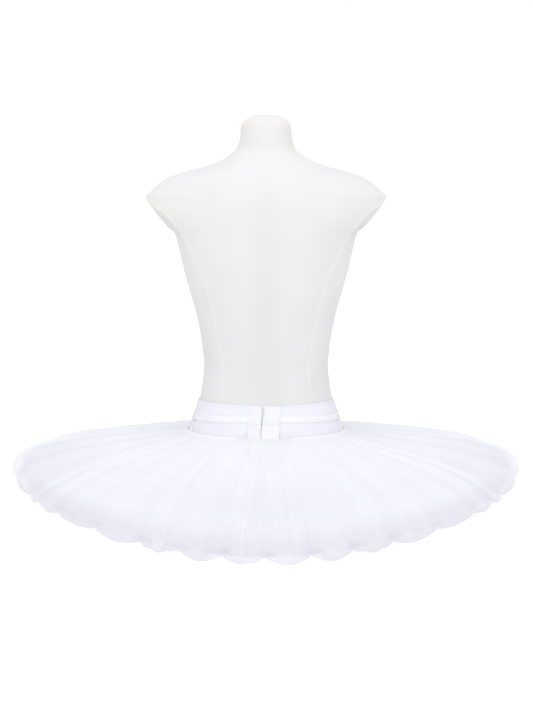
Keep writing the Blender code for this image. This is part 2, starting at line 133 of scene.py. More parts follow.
# Folds of the top net: angles at hip and rim, height, half width, the share of the
# way to the rim where each starts and ends, and how sharp its ridge is.
Fold = namedtuple("Fold", "hip_angle rim_angle rise half_angle start end sharpness")
FOLDS = tuple(Fold(*row) for row in (
    (88.5, 86.0, 0.0035, 2.2, 0.22, 1.00, 1.6),
    (89.5, 89.0, 0.0022, 1.2, 0.00, 1.00, 1.8),
    (62.0, 69.0, 0.0036, 3.0, 0.02, 0.95, 1.5),
    (60.0, 65.5, 0.0026, 2.2, 0.05, 1.00, 1.7),
    (118.0, 111.0, 0.0036, 3.0, 0.02, 0.95, 1.5),
    (120.0, 114.5, 0.0026, 2.2, 0.05, 1.00, 1.7),
    (42.0, 44.0, 0.0030, 4.0, 0.15, 1.00, 1.2),
    (138.0, 136.0, 0.0030, 4.0, 0.15, 1.00, 1.2),
    (15.0, 13.0, 0.0030, 4.0, 0.20, 1.00, 1.2),
    (165.0, 167.0, 0.0030, 4.0, 0.20, 1.00, 1.2),
    (-22.0, -24.0, 0.0030, 4.0, 0.15, 1.00, 1.2),
    (202.0, 204.0, 0.0030, 4.0, 0.15, 1.00, 1.2),
    (-58.0, -60.0, 0.0035, 3.8, 0.10, 1.00, 1.4),
    (236.0, 238.0, 0.0035, 3.8, 0.10, 1.00, 1.4),
    (270.0, 272.0, 0.0030, 3.6, 0.20, 1.00, 1.2),
))
FOLD_HOLD = 0.85        # share of a fold's length over which it rises
FOLD_TALL = 0.0036      # rise of a fold whose sides are toned at full strength


# ---------------------------------------------------------------- what a user may change

def length_property(name, description, default, least=0.0):
    """A length in metres."""
    return FloatProperty(name=name, description=description, default=default, min=least,
                         unit="LENGTH", subtype="DISTANCE")


class TutuSizes(bpy.types.PropertyGroup):
    """Sizes of the cloth pieces"""

    basque_wall: length_property("Basque Thickness", "Satin with its lining", 0.0016, 0.0005)
    tape_wall: length_property("Tape Thickness", "Woven tape over the basque", 0.0010, 0.0003)
    tape_width: length_property("Tape Width", "Width of the tape round the basque", 0.0120, 0.004)
    placket_left_width: length_property(
        "Left Placket Width", "Strip on the wearer's left of the opening", 0.0225, 0.005)
    placket_right_width: length_property(
        "Right Placket Width", "Strip on the wearer's right of the opening", 0.0310, 0.005)
    placket_flare: length_property(
        "Placket Flare", "How far the lower ends stand out over the plate", 0.0050)
    plate_radius: length_property("Plate Radius", "Origin to the rim of the top net", 0.4500, 0.3)
    plate_droop_side: length_property("Droop at Sides", "Fall from hip to rim at the sides", 0.0520)
    plate_droop_front: length_property(
        "More Droop in Front", "Further fall at centre front", 0.0530)
    plate_droop_back: length_property("More Droop at Back", "Further fall at centre back", 0.0800)
    lower_net_shorter: length_property(
        "Lower Nets Shorter", "How far the second net ends inside the top one", 0.0135)
    lower_net_step: length_property(
        "Each Next Net Shorter", "How much shorter each next net is", 0.0050)
    scallop_depth: length_property(
        "Scallop Depth", "Depth of the notches at centre front and back", 0.0090)
    scallop_depth_side: length_property(
        "Scallop Depth at Sides", "Depth of the notches at the sides", 0.0035)
    fine_gather: length_property(
        "Fine Gather Height", "Height of the hair-fine creases of the net", 0.00005)
    small_gather: length_property("Small Gather Height", "Height of the small gathers", 0.00021)
    broad_gather: length_property("Broad Gather Height", "Height of the broad gathers", 0.0011)
    stitch_pitch: length_property(
        "Stitch Pitch", "Start of one stitch to the start of the next", 0.0034, 0.001)
    stitch_thickness: length_property(
        "Thread Thickness", "Thickness of the sewing thread", 0.0005, 0.0001)
    seed: IntProperty(
        name="Gather Seed", description="Another number gives other gathers", default=11, min=0)


def colour_property(name, description, default):
    """A colour without its cover."""
    return FloatVectorProperty(name=name, description=description, default=default, size=3,
                               min=0.0, max=1.0, subtype="COLOR")


class TutuColours(bpy.types.PropertyGroup):
    """Colours of the cloths"""

    form: colour_property("Form Cover", "Jersey stretched over the form", (0.714, 0.709, 0.708))
    satin: colour_property("Basque Satin", "Cool white satin", (0.782, 0.786, 0.856))
    tape: colour_property("Tape", "Matte woven tape", (0.935, 0.939, 0.970))
    placket: colour_property("Placket", "Stiff matte cotton", (0.930, 0.930, 0.965))
    underlap: colour_property("Underlap", "Strip behind the opening", (0.800, 0.825, 0.945))
    net: colour_property("Net", "Stiff white nylon net", (0.948, 0.948, 1.000))
    # Painted shade: the darker tone of the rim band, the near half, the fine creases and the folds'
    # shaded sides.
    net_rim_painted_shade: colour_property("Net at the Rim", "Net in few layers", (0.790, 0.778, 0.840))
    thread: colour_property("Thread", "Sewing thread", (0.780, 0.780, 0.860))


class StageSettings(bpy.types.PropertyGroup):
    """Camera and light"""

    camera_distance: length_property(
        "Camera Distance", "Camera to the plane through the form's middle", 3.5, 1.0)
    camera_height: length_property("Camera Height", "Camera above the floor", 0.84)
    camera_across: length_property("Camera Across", "Camera off the centre line", -0.0009, -1.0)
    camera_tilt: FloatProperty(
        name="Camera Tilt", description="Camera's angle below the horizon",
        default=radians(8.24237), unit="ROTATION", subtype="ANGLE")
    camera_lens: FloatProperty(
        name="Lens", description="Focal length in millimetres", default=100.17, min=10.0)
    overhead: FloatProperty(
        name="Overhead Light", description="Power of the soft box above", default=130.0, min=0.0,
        unit="POWER")
    fill: FloatProperty(
        name="Fill Light", description="Power of the soft box behind the camera", default=30.0,
        min=0.0, unit="POWER")
    surround: FloatProperty(
        name="Surround", description="Even light from all round", default=0.83, min=0.0)


# ---------------------------------------------------------------- curves and sections

def columns_by_name(names, rows):
    """A table's columns by name, as arrays."""
    return dict(zip(names, np.array(rows, dtype=float).T))


BODY = columns_by_name(BODY_COLUMNS, BODY_ROWS)


def smooth_values(knots, values, at):
    """Values of a smooth curve through the knots that never overshoots them."""
    steps = np.diff(knots)
    slopes = np.diff(values) / steps
    tangents = np.zeros(len(knots))
    tangents[0], tangents[-1] = slopes[0], slopes[-1]
    rising = slopes[:-1] * slopes[1:] > 0.0
    both = np.where(rising, slopes[:-1] + slopes[1:], 1.0)
    tangents[1:-1] = np.where(rising, 2.0 * slopes[:-1] * slopes[1:] / both, 0.0)
    i = np.clip(np.searchsorted(knots, at) - 1, 0, len(steps) - 1)
    t = (at - knots[i]) / steps[i]
    start = (1.0 + 2.0 * t) * (1.0 - t) ** 2 * values[i]
    end = t * t * (3.0 - 2.0 * t) * values[i + 1]
    lean = steps[i] * t * (1.0 - t) * ((1.0 - t) * tangents[i] - t * tangents[i + 1])
    return start + end + lean


def body_size(name, height):
    """One of the body's measures at a height."""
    return smooth_values(BODY["height"], BODY[name], height)


def body_points(angle, height, out=0.0):
    """Points on the body's sections, moved outwards by `out`; arrays of one shape."""
    angle, height, out = np.broadcast_arrays(np.asarray(angle, dtype=float), height, out)
    half_width = body_size("half_width", height)
    c, s = np.cos(angle), np.sin(angle)
    depth = np.where(s >= 0.0, body_size("back", height), body_size("front", height))
    power = 2.0 / body_size("squareness", height)
    x = half_width * np.sign(c) * np.abs(c) ** power
    y = depth * np.sign(s) * np.abs(s) ** power
    nx, ny = x / half_width ** 2, y / depth ** 2
    length = np.hypot(nx, ny)
    return np.stack((x + out * nx / length, y + out * ny / length, height), axis=-1)


def angle_at_width(x, height):
    """Angle of the back point that lies `x` from the centre line."""
    share = np.clip(np.abs(x) / body_size("half_width", height), 0.0, 1.0)
    off = pi / 2.0 - np.arccos(share ** (body_size("squareness", height) / 2.0))
    return pi / 2.0 - np.sign(x) * off


def beside_slit(side, height, away=0.0):
    """Distance from the centre line to a point beside the back opening.

    `side` is +1 for the opening's left edge, -1 for its right one and 0 for its middle."""
    share = (height - BASQUE_BOTTOM) / (BASQUE_TOP - BASQUE_BOTTOM)
    middle = SLIT_MIDDLE_LOW + (SLIT_MIDDLE_TOP - SLIT_MIDDLE_LOW) * share
    wider = np.clip(share, 0.0, None) ** SLIT_POWER
    half = SLIT_HALF_LOW + (SLIT_HALF_TOP - SLIT_HALF_LOW) * wider
    return middle + side * (half + away)


def tape_low(angle):
    """Height of the tape's lower edge: it climbs towards centre back."""
    return TAPE_LOW_AT_SIDE + TAPE_RISE_AT_BACK * np.maximum(0.0, np.sin(angle)) ** 2


def smooth_step(low, high, at):
    """0 up to `low`, 1 from `high` on, and an even curve between them."""
    t = np.clip((at - low) / (high - low), 0.0, 1.0)
    return t * t * (3.0 - 2.0 * t)


def seeded_waves(angle, counts, seed):
    """Sum of sine waves of whole counts round the circle, with seeded phases, within +-1."""
    phases = np.random.default_rng(seed).uniform(0.0, 2.0 * pi, len(counts))
    return sum(np.sin(n * angle + p) for n, p in zip(counts, phases)) / len(counts)


def path_length(points):
    """Length of a path through points."""
    return float(np.linalg.norm(np.diff(points, axis=0), axis=-1).sum())


# ---------------------------------------------------------------- meshes

CLOTH_SHARP_FROM = 50.0         # degrees between faces from which their edge is drawn sharp
FORM_SHARP_FROM = 40.0
EDGE_ROW = 0.35                 # place of the row within a rounded edge
EDGE_FULLNESS = (0.55, 0.90)    # shares of full thickness at its two rows
LEAST_SIDE = 0.15               # square of the share of full thickness at a strip's sides


def grid_faces(rows, columns, closed_round):
    """Four-cornered faces over a grid of points, [row][column]."""
    spans = columns if closed_round else columns - 1
    r, c = np.meshgrid(np.arange(rows - 1), np.arange(spans), indexing="ij")
    d = (c + 1) % columns
    corners = (r * columns + c, r * columns + d, (r + 1) * columns + d, (r + 1) * columns + c)
    return np.stack(corners, axis=-1).reshape(-1, 4)


def new_object(name, data, material=None):
    """Puts a mesh, light or camera into the scene, a mesh with its one material."""
    if material:
        data.materials.clear()
        data.materials.append(material)
    item = bpy.data.objects.new(name, data)
    bpy.context.scene.collection.objects.link(item)
    return item


def new_mesh(name, points, edges=(), faces=()):
    """Mesh of points with the edges or faces between them."""
    mesh = bpy.data.meshes.new(name)
    mesh.from_pydata(points, edges, faces)
    return mesh


def add_attribute(mesh, name, values, kind="FLOAT"):
    """Keeps a value or a vector for each point, which the materials read."""
    layer = mesh.attributes.new(name, kind, "POINT")
    field = "vector" if kind == "FLOAT_VECTOR" else "value"
    layer.data.foreach_set(field, np.ascontiguousarray(values, dtype=np.float32).ravel())


def add_uv(mesh, per_corner):
    """Keeps a place on the flat cloth for each corner of each face."""
    layer = mesh.uv_layers.new(name="cloth")
    layer.data.foreach_set("uv", np.ascontiguousarray(per_corner, dtype=np.float32).ravel())


def corner_points(mesh):
    """Number of the point at each corner of each face."""
    numbers = np.zeros(len(mesh.loops), dtype=np.int64)
    mesh.loops.foreach_get("vertex_index", numbers)
    return numbers


def closed_mesh(name, points, faces, sharp_from, shape=lambda bm: None):
    """Smooth mesh whose faces point outwards, after `shape` has worked on it."""
    mesh = new_mesh(name, points, faces=faces)
    bm = bmesh.new()
    bm.from_mesh(mesh)
    shape(bm)
    bmesh.ops.recalc_face_normals(bm, faces=bm.faces[:])
    bm.to_mesh(mesh)
    bm.free()
    mesh.shade_smooth()
    mesh.set_sharp_from_angle(angle=radians(sharp_from))
    return mesh


def wall(name, outer, inner, material, closed_round=False):
    """Closed wall between two grids of points, with cloth UVs in metres on its faces."""
    rows, columns = outer.shape[:2]
    count = rows * columns
    outside = grid_faces(rows, columns, closed_round)
    c = np.arange(columns if closed_round else columns - 1)
    d = (c + 1) % columns
    last = (rows - 1) * columns
    low_edge = np.stack((d, c, c + count, d + count), axis=-1)
    top_edge = np.stack((c + last, d + last, d + last + count, c + last + count), axis=-1)
    faces = [outside, outside[:, ::-1] + count, low_edge, top_edge]
    if not closed_round:
        r = np.arange(rows - 1) * columns
        s = r + columns
        e = columns - 1
        faces.append(np.stack((r, s, s + count, r + count), axis=-1))
        faces.append(np.stack((s + e, r + e, r + e + count, s + e + count), axis=-1))
    points = np.concatenate((outer.reshape(-1, 3), inner.reshape(-1, 3)))
    mesh = closed_mesh(name, points.tolist(), np.concatenate(faces).tolist(),
                       CLOTH_SHARP_FROM)
    across, up = (np.insert(np.cumsum(np.linalg.norm(np.diff(path, axis=0), axis=-1)), 0, 0.0)
                  for path in (outer[0], outer[:, 0]))
    flat = np.stack(np.meshgrid(across, up), axis=-1).reshape(-1, 2)
    add_uv(mesh, flat[corner_points(mesh) % count])
    return new_object(name, mesh, material)


def laid_wall(name, angle, height, under, thickness, material, closed_round=False):
    """Wall of cloth that lies `under` out from the body's sections, and its outer points."""
    outer = body_points(angle, height, under + thickness)
    inner = body_points(angle, height, under)
    return wall(name, outer, inner, material, closed_round), outer


def middle_row(points):
    """Row of points halfway up a strip."""
    return points[len(points) // 2]


def rounded_rows(low, top, edge, rows):
    """Heights of a strip's rows, closer at both edges, and each row's share of full thickness."""
    middle = np.linspace(low + edge, top - edge, rows)
    step = edge * EDGE_ROW
    heights = np.concatenate(([low, low + step], middle, [top - step, top]))
    fullness = np.concatenate((EDGE_FULLNESS, np.ones(rows), EDGE_FULLNESS[::-1]))
    return heights[:, None], fullness[:, None]


def rounded_sides(across, power):
    """Share of full thickness across a strip, from -1 to +1, which thins at both sides."""
    return np.sqrt(np.clip(1.0 - np.abs(across) ** power, LEAST_SIDE, 1.0))


def finish_piece(piece, node_name):
    """Hides the solid that a piece stands for and hangs the piece on the body."""
    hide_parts(node_name)
    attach(piece, BODY_NAME)


# ---------------------------------------------------------------- materials

class Tree:
    """A node tree and short ways to add nodes to it."""

    def __init__(self, tree):
        self.tree = tree

    def feed(self, socket, source):
        """Gives an input the output or value that it takes."""
        if isinstance(source, bpy.types.NodeSocket):
            self.tree.links.new(source, socket)
        else:
            socket.default_value = source

    def node(self, kind, links=(), **settings):
        """Adds a node; `links` is pairs of input and output or value."""
        node = self.tree.nodes.new(kind)
        for key, value in settings.items():
            setattr(node, key, value)
        for socket, source in links:
            self.feed(node.inputs[socket], source)
        return node

    def math(self, operation, *values):
        return self.node("ShaderNodeMath", enumerate(values), operation=operation).outputs["Value"]

    def times(self, first, second):
        return self.math("MULTIPLY", first, second)

    def plus(self, first, second):
        return self.math("ADD", first, second)


class GeometryTree(Tree):
    """A geometry tree that takes a mesh, lengths and other values, and gives one mesh."""

    def __init__(self, name, lengths, others):
        super().__init__(bpy.data.node_groups.new(name, "GeometryNodeTree"))
        face = self.tree.interface
        face.new_socket("Geometry", in_out="INPUT", socket_type="NodeSocketGeometry")
        for label in lengths:
            socket = face.new_socket(label, in_out="INPUT", socket_type="NodeSocketFloat")
            socket.subtype = "DISTANCE"
            socket.min_value = 0.0
        for label, kind in others:
            face.new_socket(label, in_out="INPUT", socket_type=kind)
        face.new_socket("Geometry", in_out="OUTPUT", socket_type="NodeSocketGeometry")
        self.given = self.node("NodeGroupInput").outputs

    def give(self, geometry, material):
        """Gives the geometry out as one smooth mesh of one material."""
        for kind in ("GeometryNodeRealizeInstances", "GeometryNodeSetShadeSmooth"):
            geometry = self.node(kind, [("Geometry", geometry)]).outputs["Geometry"]
        links = [("Geometry", geometry), ("Material", material)]
        painted = self.node("GeometryNodeSetMaterial", links).outputs["Geometry"]
        self.node("NodeGroupOutput", [("Geometry", painted)])
        return self.tree


class Finish(Tree):
    """The tree of a Principled material."""

    def __init__(self, name, colour, roughness, sheen=0.0, sheen_roughness=0.4):
        self.material = bpy.data.materials.new(name)
        self.material.use_nodes = True
        self.material.diffuse_color = (*colour, 1.0)
        super().__init__(self.material.node_tree)
        self.shader = self.tree.nodes["Principled BSDF"]
        self.set("Base Color", (*colour, 1.0))
        self.set("Roughness", roughness)
        self.set("Specular IOR Level", 0.25)
        if sheen:
            self.set("Sheen Weight", sheen)
            self.set("Sheen Roughness", sheen_roughness)

    def set(self, socket, source):
        self.feed(self.shader.inputs[socket], source)

    def vector_math(self, operation, *values):
        node = self.node("ShaderNodeVectorMath", enumerate(values), operation=operation)
        return node.outputs["Value" if operation == "LENGTH" else "Vector"]

    def object_coordinates(self):
        return self.node("ShaderNodeTexCoord").outputs["Object"]

    def cloth_uv(self):
        return self.node("ShaderNodeUVMap", uv_map="cloth").outputs["UV"]

    def attribute(self, name, output="Fac"):
        return self.node("ShaderNodeAttribute", attribute_name=name).outputs[output]

    def noise(self, vector, stretch, detail, roughness=0.5):
        """Noise from 0 to 1, finer along the axes with the higher numbers."""
        place = self.node("ShaderNodeMapping", [("Vector", vector), ("Scale", stretch)])
        links = [("Vector", place.outputs["Vector"]), ("Scale", 1.0), ("Detail", detail),
                 ("Roughness", roughness)]
        return self.node("ShaderNodeTexNoise", links, normalize=True).outputs["Fac"]

    def span(self, value, low, high, to_low, to_high, smooth=False):
        """The value carried from one range to another and held at its ends."""
        kind = "SMOOTHSTEP" if smooth else "LINEAR"
        links = [("Value", value), ("From Min", low), ("From Max", high),
                 ("To Min", to_low), ("To Max", to_high)]
        return self.node("ShaderNodeMapRange", links, interpolation_type=kind).outputs["Result"]

    def blend(self, share, first, second):
        node = self.node("ShaderNodeMix", data_type="RGBA", blend_type="MIX")
        colours = [s for s in node.inputs if s.type == "RGBA"]
        factor = next(s for s in node.inputs if s.type == "VALUE")
        for socket, source in ((factor, share), (colours[0], first), (colours[1], second)):
            self.feed(socket, source)
        return next(s for s in node.outputs if s.type == "RGBA")

    def bump(self, height, distance):
        node = self.node("ShaderNodeBump", [("Height", height), ("Distance", distance),
                                            ("Strength", 1.0)])
        self.set("Normal", node.outputs["Normal"])

    def mix_shaders(self, share, first, second):
        return self.node("ShaderNodeMixShader", enumerate((share, first, second))).outputs["Shader"]

    def let_light_through(self, tone, share, cover):
        """Thin cloth: a share of its light comes from behind, and it is open where not covered."""
        glow = self.node("ShaderNodeBsdfTranslucent", [("Color", tone)]).outputs["BSDF"]
        cloth = self.mix_shaders(share, self.shader.outputs["BSDF"], glow)
        clear = self.node("ShaderNodeBsdfTransparent").outputs["BSDF"]
        surface = self.tree.nodes["Material Output"].inputs["Surface"]
        self.feed(surface, self.mix_shaders(cover, clear, cloth))


WHITE = (1.0, 1.0, 1.0, 1.0)


def rgba(colour, share=1.0):
    """A colour made darker or lighter by a share, as a node takes it."""
    return tuple(c * share for c in colour) + (1.0,)


def woven(finish, uv, thread_pitch):
    """Height pattern of a plain weave: warp and weft that pass over and under each other."""
    parts = finish.node("ShaderNodeSeparateXYZ", [("Vector", uv)]).outputs
    warp, weft = (finish.math("SINE", finish.times(parts[axis], pi / thread_pitch))
                  for axis in ("X", "Y"))
    return finish.times(warp, weft)


# Grains of noise: how many cells it has in a metre along each axis.
FORM_CLOUD_GRAIN = (9.0, 9.0, 9.0)
KNIT_GRAIN = (1500.0, 1500.0, 825.0)
SLUB_GRAIN = (260.0, 260.0, 1560.0)
FLOAT_GRAIN = (60.0, 2200.0, 1.0)
SATIN_CLOUD_GRAIN = (14.0, 50.0, 1.0)
SOIL_GRAIN = (40.0, 40.0, 1.0)
FINE_GRAIN = (420.0, 420.0, 4.0)
HAIR_GRAIN = (1000.0, 1000.0, 7.0)
SOFT_GRAIN = (60.0, 60.0, 5.0)

# Spans: low and high of a value, and what it is carried to there.
CLOUD_SPAN = (0.3, 0.7, 0.0, 1.0)
FLOAT_SPAN = (0.35, 0.65, 0.0, 0.25)
SATIN_ROUGHNESS = (0.3, 0.7, 0.36, 0.50)
SOIL_SPAN = (0.35, 0.7, 0.0, 0.35)
FINE_SPAN = (0.30, 0.48, 0.075, 0.0)
HAIR_SPAN = (0.52, 0.70, 0.0, 0.09)
NEAR_SPAN = (0.1, 0.7, 0.0, 0.6)
EDGE_SPAN = (0.80, 0.985, 0.0, 1.0)
SIDES_SPAN = (0.42, 0.97, 0.0, 0.8)
BRIM_AT_SIDES = (0.0, 1.0, 1.0, 0.5)
ROOT_SPAN = (0.0, 0.03, 1.0, 0.0)
LIT_SPAN = (0.0, 1.0, 0.0, 0.15)
SHADED_SPAN = (-1.0, 0.0, 0.18, 0.0)
CROWDED_SPAN = (0.15, 0.9, 1.0, 0.93)
CREASED_SPAN = (0.3, 0.7, 0.93, 1.0)
SHEER_COVER = (0.0, 1.0, 1.0, 0.80)
GLOW_AT_ROOT = (0.0, 1.0, 0.16, 0.12)
HOLE_SPAN = (0.34, 0.46, 0.0, 1.0)

# Depths of the relief, in metres.
FORM_RELIEF = 0.00035
SATIN_RELIEF = 0.00012
WOVEN_RELIEF = 0.00018
NET_RELIEF = 0.00030
THREAD_RELIEF = 0.0001

# The first tone is painted shade over the shoulder blades and along the spine.
FORM_PAINTED_SHADE = (0.655, 0.650, 0.642, 1.0)
FORM_NECK = (0.715, 0.705, 0.685, 1.0)
FORM_SEAM = (0.760, 0.750, 0.725, 1.0)


def form_material(colours):
    """Fine jersey stretched over a hard shell, a little soiled and creased at its seams, with
    painted shade over the shoulder blades and along the spine.
    """
    finish = Finish("form_jersey", colours.form, 0.62, sheen=0.15, sheen_roughness=0.5)
    place = finish.object_coordinates()
    seam = finish.attribute("seam")
    cloudy = finish.span(finish.noise(place, FORM_CLOUD_GRAIN, 3.0), *CLOUD_SPAN)
    tone = finish.blend(cloudy, rgba(colours.form, 0.975), rgba(colours.form, 1.02))
    # painted shade over the shoulder blades and along the spine
    tone = finish.blend(finish.attribute("shade"), tone, FORM_PAINTED_SHADE)
    tone = finish.blend(finish.attribute("neck"), tone, FORM_NECK)
    tone = finish.blend(finish.times(seam, 0.75), tone, FORM_SEAM)
    finish.set("Base Color", tone)
    knit = finish.times(finish.noise(place, KNIT_GRAIN, 1.0), 0.35)
    slub = finish.times(finish.noise(place, SLUB_GRAIN, 2.0), 0.25)
    relief = finish.math("SUBTRACT", finish.plus(knit, slub), finish.times(seam, 0.5))
    finish.bump(relief, FORM_RELIEF)
    return finish.material


def satin_material(name, colour):
    """Cool satin: floats run round the body, so its gloss is stretched across them."""
    finish = Finish(name, colour, 0.42, sheen=0.10)
    finish.set("Anisotropic", 0.45)
    uv = finish.cloth_uv()
    floats = finish.noise(uv, FLOAT_GRAIN, 2.0)
    shade = finish.noise(uv, SATIN_CLOUD_GRAIN, 2.0)
    cloudy = finish.span(shade, *CLOUD_SPAN)
    tone = finish.blend(cloudy, rgba(colour, 0.97), rgba(colour, 1.02))
    tone = finish.blend(finish.span(floats, *FLOAT_SPAN), tone, rgba(colour, 0.93))
    finish.set("Base Color", tone)
    finish.set("Roughness", finish.span(shade, *SATIN_ROUGHNESS))
    finish.bump(floats, SATIN_RELIEF)
    return finish.material


TAPE_THREADS = 0.0007                           # from one thread of the tape to the next
COTTON_THREADS = 0.0006
GROOVE_PAINTED_SHADE = (0.730, 0.745, 0.770, 1.0)        # painted shade of a groove along the middle of a strip


def woven_material(name, colour, thread_pitch, roughness):
    """Matte plain-woven cloth."""
    finish = Finish(name, colour, roughness, sheen=0.08)
    uv = finish.cloth_uv()
    weave = woven(finish, uv, thread_pitch)
    raised = finish.span(weave, -1.0, 1.0, 0.0, 1.0)
    tone = finish.blend(raised, rgba(colour, 0.965), rgba(colour, 1.015))
    soil = finish.span(finish.noise(uv, SOIL_GRAIN, 3.0), *SOIL_SPAN)
    tone = finish.blend(soil, tone, rgba(colour, 0.95))
    # painted shade of a groove along the middle of a side strip
    tone = finish.blend(finish.attribute("groove"), tone, GROOVE_PAINTED_SHADE)
    finish.set("Base Color", tone)
    finish.bump(weave, WOVEN_RELIEF)
    return finish.material


# The net's streaks are drawn on a cylinder, so that they close all the way round.
NET_STREAK_RADIUS = 0.30
NET_STREAK_LENGTH = 0.31
NET_HOLE_PITCH = 0.0014
NET_ROUND = round(2.0 * pi * NET_STREAK_RADIUS / NET_HOLE_PITCH)    # holes all the way round
HALF_CELL = (0.5, 0.866, 0.5)       # half the way from hole to hole, along rows and across

EDGE_UNEVEN = 0.12                  # how far the clouds shift where the rim's painted shade starts
BRIM_UNEVEN = 0.4                   # share of that for the steps along the very rim
EDGE_SHADE_SHARE = 0.9                    # most of the rim's painted shade that shows
OPENING_SHARE = 0.55
# painted light at the root, against the crevice shade under the basque's foot
ROOT_PAINTED_LIGHT = 0.15
# painted highlight on the hair-fine creases
HAIR_PAINTED_HIGHLIGHT = (0.960, 0.960, 1.000, 1.0)
OPENING_TONE = (0.905, 0.895, 0.925, 1.0)
# painted shade on the sheer tips of the rim, which are also really open
SHEER_PAINTED_SHADE = (0.780, 0.750, 0.800, 1.0)
BRIM_PAINTED_SHADE_STEPS = (                      # where each step of the rim's painted shade starts and is full
    (0.870, 0.965, (0.775, 0.760, 0.822, 1.0)),
    (0.945, 0.980, (0.690, 0.675, 0.738, 1.0)),
    (0.965, 0.990, (0.667, 0.652, 0.706, 1.0)),
)


def net_material(name, colours, shade):
    """Stiff nylon net: staggered round holes, hair-fine gather streaks, thin at the rim; with
    painted shade along the rim and in the creases, painted highlights and painted light at the
    root.
    """
    finish = Finish(name, colours.net, 0.78, sheen=0.12, sheen_roughness=0.6)
    times, span = finish.times, finish.span
    along, back, beside, near, opening, sheer, crease = (
        finish.attribute(part)
        for part in ("along", "back", "beside", "near", "opening", "sheer", "crease"))
    ring = finish.attribute("ring", "Vector")
    fine = finish.noise(ring, FINE_GRAIN, 2.0, 0.6)
    hair = finish.noise(ring, HAIR_GRAIN, 1.0, 0.6)
    soft = finish.noise(ring, SOFT_GRAIN, 2.0)
    uneven = times(finish.math("SUBTRACT", soft, 0.5), EDGE_UNEVEN)
    edge = span(finish.plus(along, uneven), *EDGE_SPAN, smooth=True)
    sides = times(beside, span(along, *SIDES_SPAN))
    edge = finish.math("MAXIMUM", times(edge, back), sides)
    brim_place = finish.plus(along, times(uneven, BRIM_UNEVEN))
    brim_share = times(back, span(beside, *BRIM_AT_SIDES))
    root = span(along, *ROOT_SPAN)
    # painted shade of the rim band, also used on the folds' shaded sides
    painted_rim_shade = rgba(colours.net_rim_painted_shade)
    layers = [
        # painted shade in the fine creases
        (span(fine, *FINE_SPAN), rgba(colours.net_rim_painted_shade, 1.06)),
        # painted highlight on the hair-fine creases
        (span(hair, *HAIR_SPAN), HAIR_PAINTED_HIGHLIGHT),
        (times(opening, OPENING_SHARE), OPENING_TONE),
        # painted shade on the near half, growing towards the rim
        (times(near, span(along, *NEAR_SPAN)), painted_rim_shade),
        # painted shade along the rim and at the far sides
        (times(edge, EDGE_SHADE_SHARE), painted_rim_shade),
    ]
    # painted shade in steps at the very rim, where the lower rims lie in shade
    for low, high, brim_painted_shade in BRIM_PAINTED_SHADE_STEPS:
        share = times(span(brim_place, low, high, 0.0, 1.0, smooth=True), brim_share)
        layers.append((share, brim_painted_shade))
    layers += [
        # painted shade on the sheer tips
        (sheer, SHEER_PAINTED_SHADE),
        (span(crease, *LIT_SPAN), WHITE),
        (span(crease, *SHADED_SPAN), painted_rim_shade),
        # painted light at the root
        (times(root, ROOT_PAINTED_LIGHT), WHITE),
    ]
    # each next net down is painted darker by its share of shade
    tone = finish.blend(span(soft, *CLOUD_SPAN),
                        rgba(colours.net, 0.985 * shade), rgba(colours.net, 1.01 * shade))
    for share, layer_tone in layers:
        tone = finish.blend(share, tone, layer_tone)
    finish.set("Base Color", tone)
    strands = net_strands(finish)
    filled = times(span(along, *CROWDED_SPAN), span(fine, *CREASED_SPAN))
    cover = times(finish.math("MAXIMUM", strands, filled), span(sheer, *SHEER_COVER))
    finish.let_light_through(tone, span(root, *GLOW_AT_ROOT), cover)
    relief = finish.plus(times(fine, 0.6), times(hair, 0.4))
    finish.bump(finish.plus(relief, times(strands, 0.15)), NET_RELIEF)
    return finish.material


def net_strands(finish):
    """1 on the net's strands and 0 in its holes, which lie in staggered rows."""
    flat = finish.vector_math("MULTIPLY", finish.cloth_uv(), (1.0, 1.0, 0.0))
    distances = []
    for shift in ((0.0, 0.0, 0.0), (*HALF_CELL[:2], 0.0)):
        moved = finish.vector_math("SUBTRACT", flat, shift)
        wrapped = finish.vector_math("WRAP", moved, HALF_CELL, tuple(-h for h in HALF_CELL))
        distances.append(finish.vector_math("LENGTH", wrapped))
    return finish.span(finish.math("MINIMUM", *distances), *HOLE_SPAN, smooth=True)


def thread_material(colours):
    """Twisted sewing thread."""
    finish = Finish("sewing_thread", colours.thread, 0.55, sheen=0.2)
    links = [("Vector", finish.object_coordinates()), ("Scale", 900.0), ("Distortion", 1.0)]
    twist = finish.node("ShaderNodeTexWave", links, bands_direction="DIAGONAL").outputs["Fac"]
    tone = finish.blend(twist, rgba(colours.thread, 0.9), rgba(colours.thread, 1.08))
    finish.set("Base Color", tone)
    finish.bump(twist, THREAD_RELIEF)
    return finish.material


# ---------------------------------------------------------------- dress form

FORM_COLUMNS = 280
FORM_RING_STEP = 0.0026
SEAM_HALF_WIDTH = 0.0048
SLOPE_STEP = 0.002
DOME_RINGS = ((0.80, 0.45), (0.55, 0.80), (0.28, 0.95))     # shares of width and height
RIM_INSETS = (0.0012, 0.0030)       # flat rings inside the rim of a cut shoulder

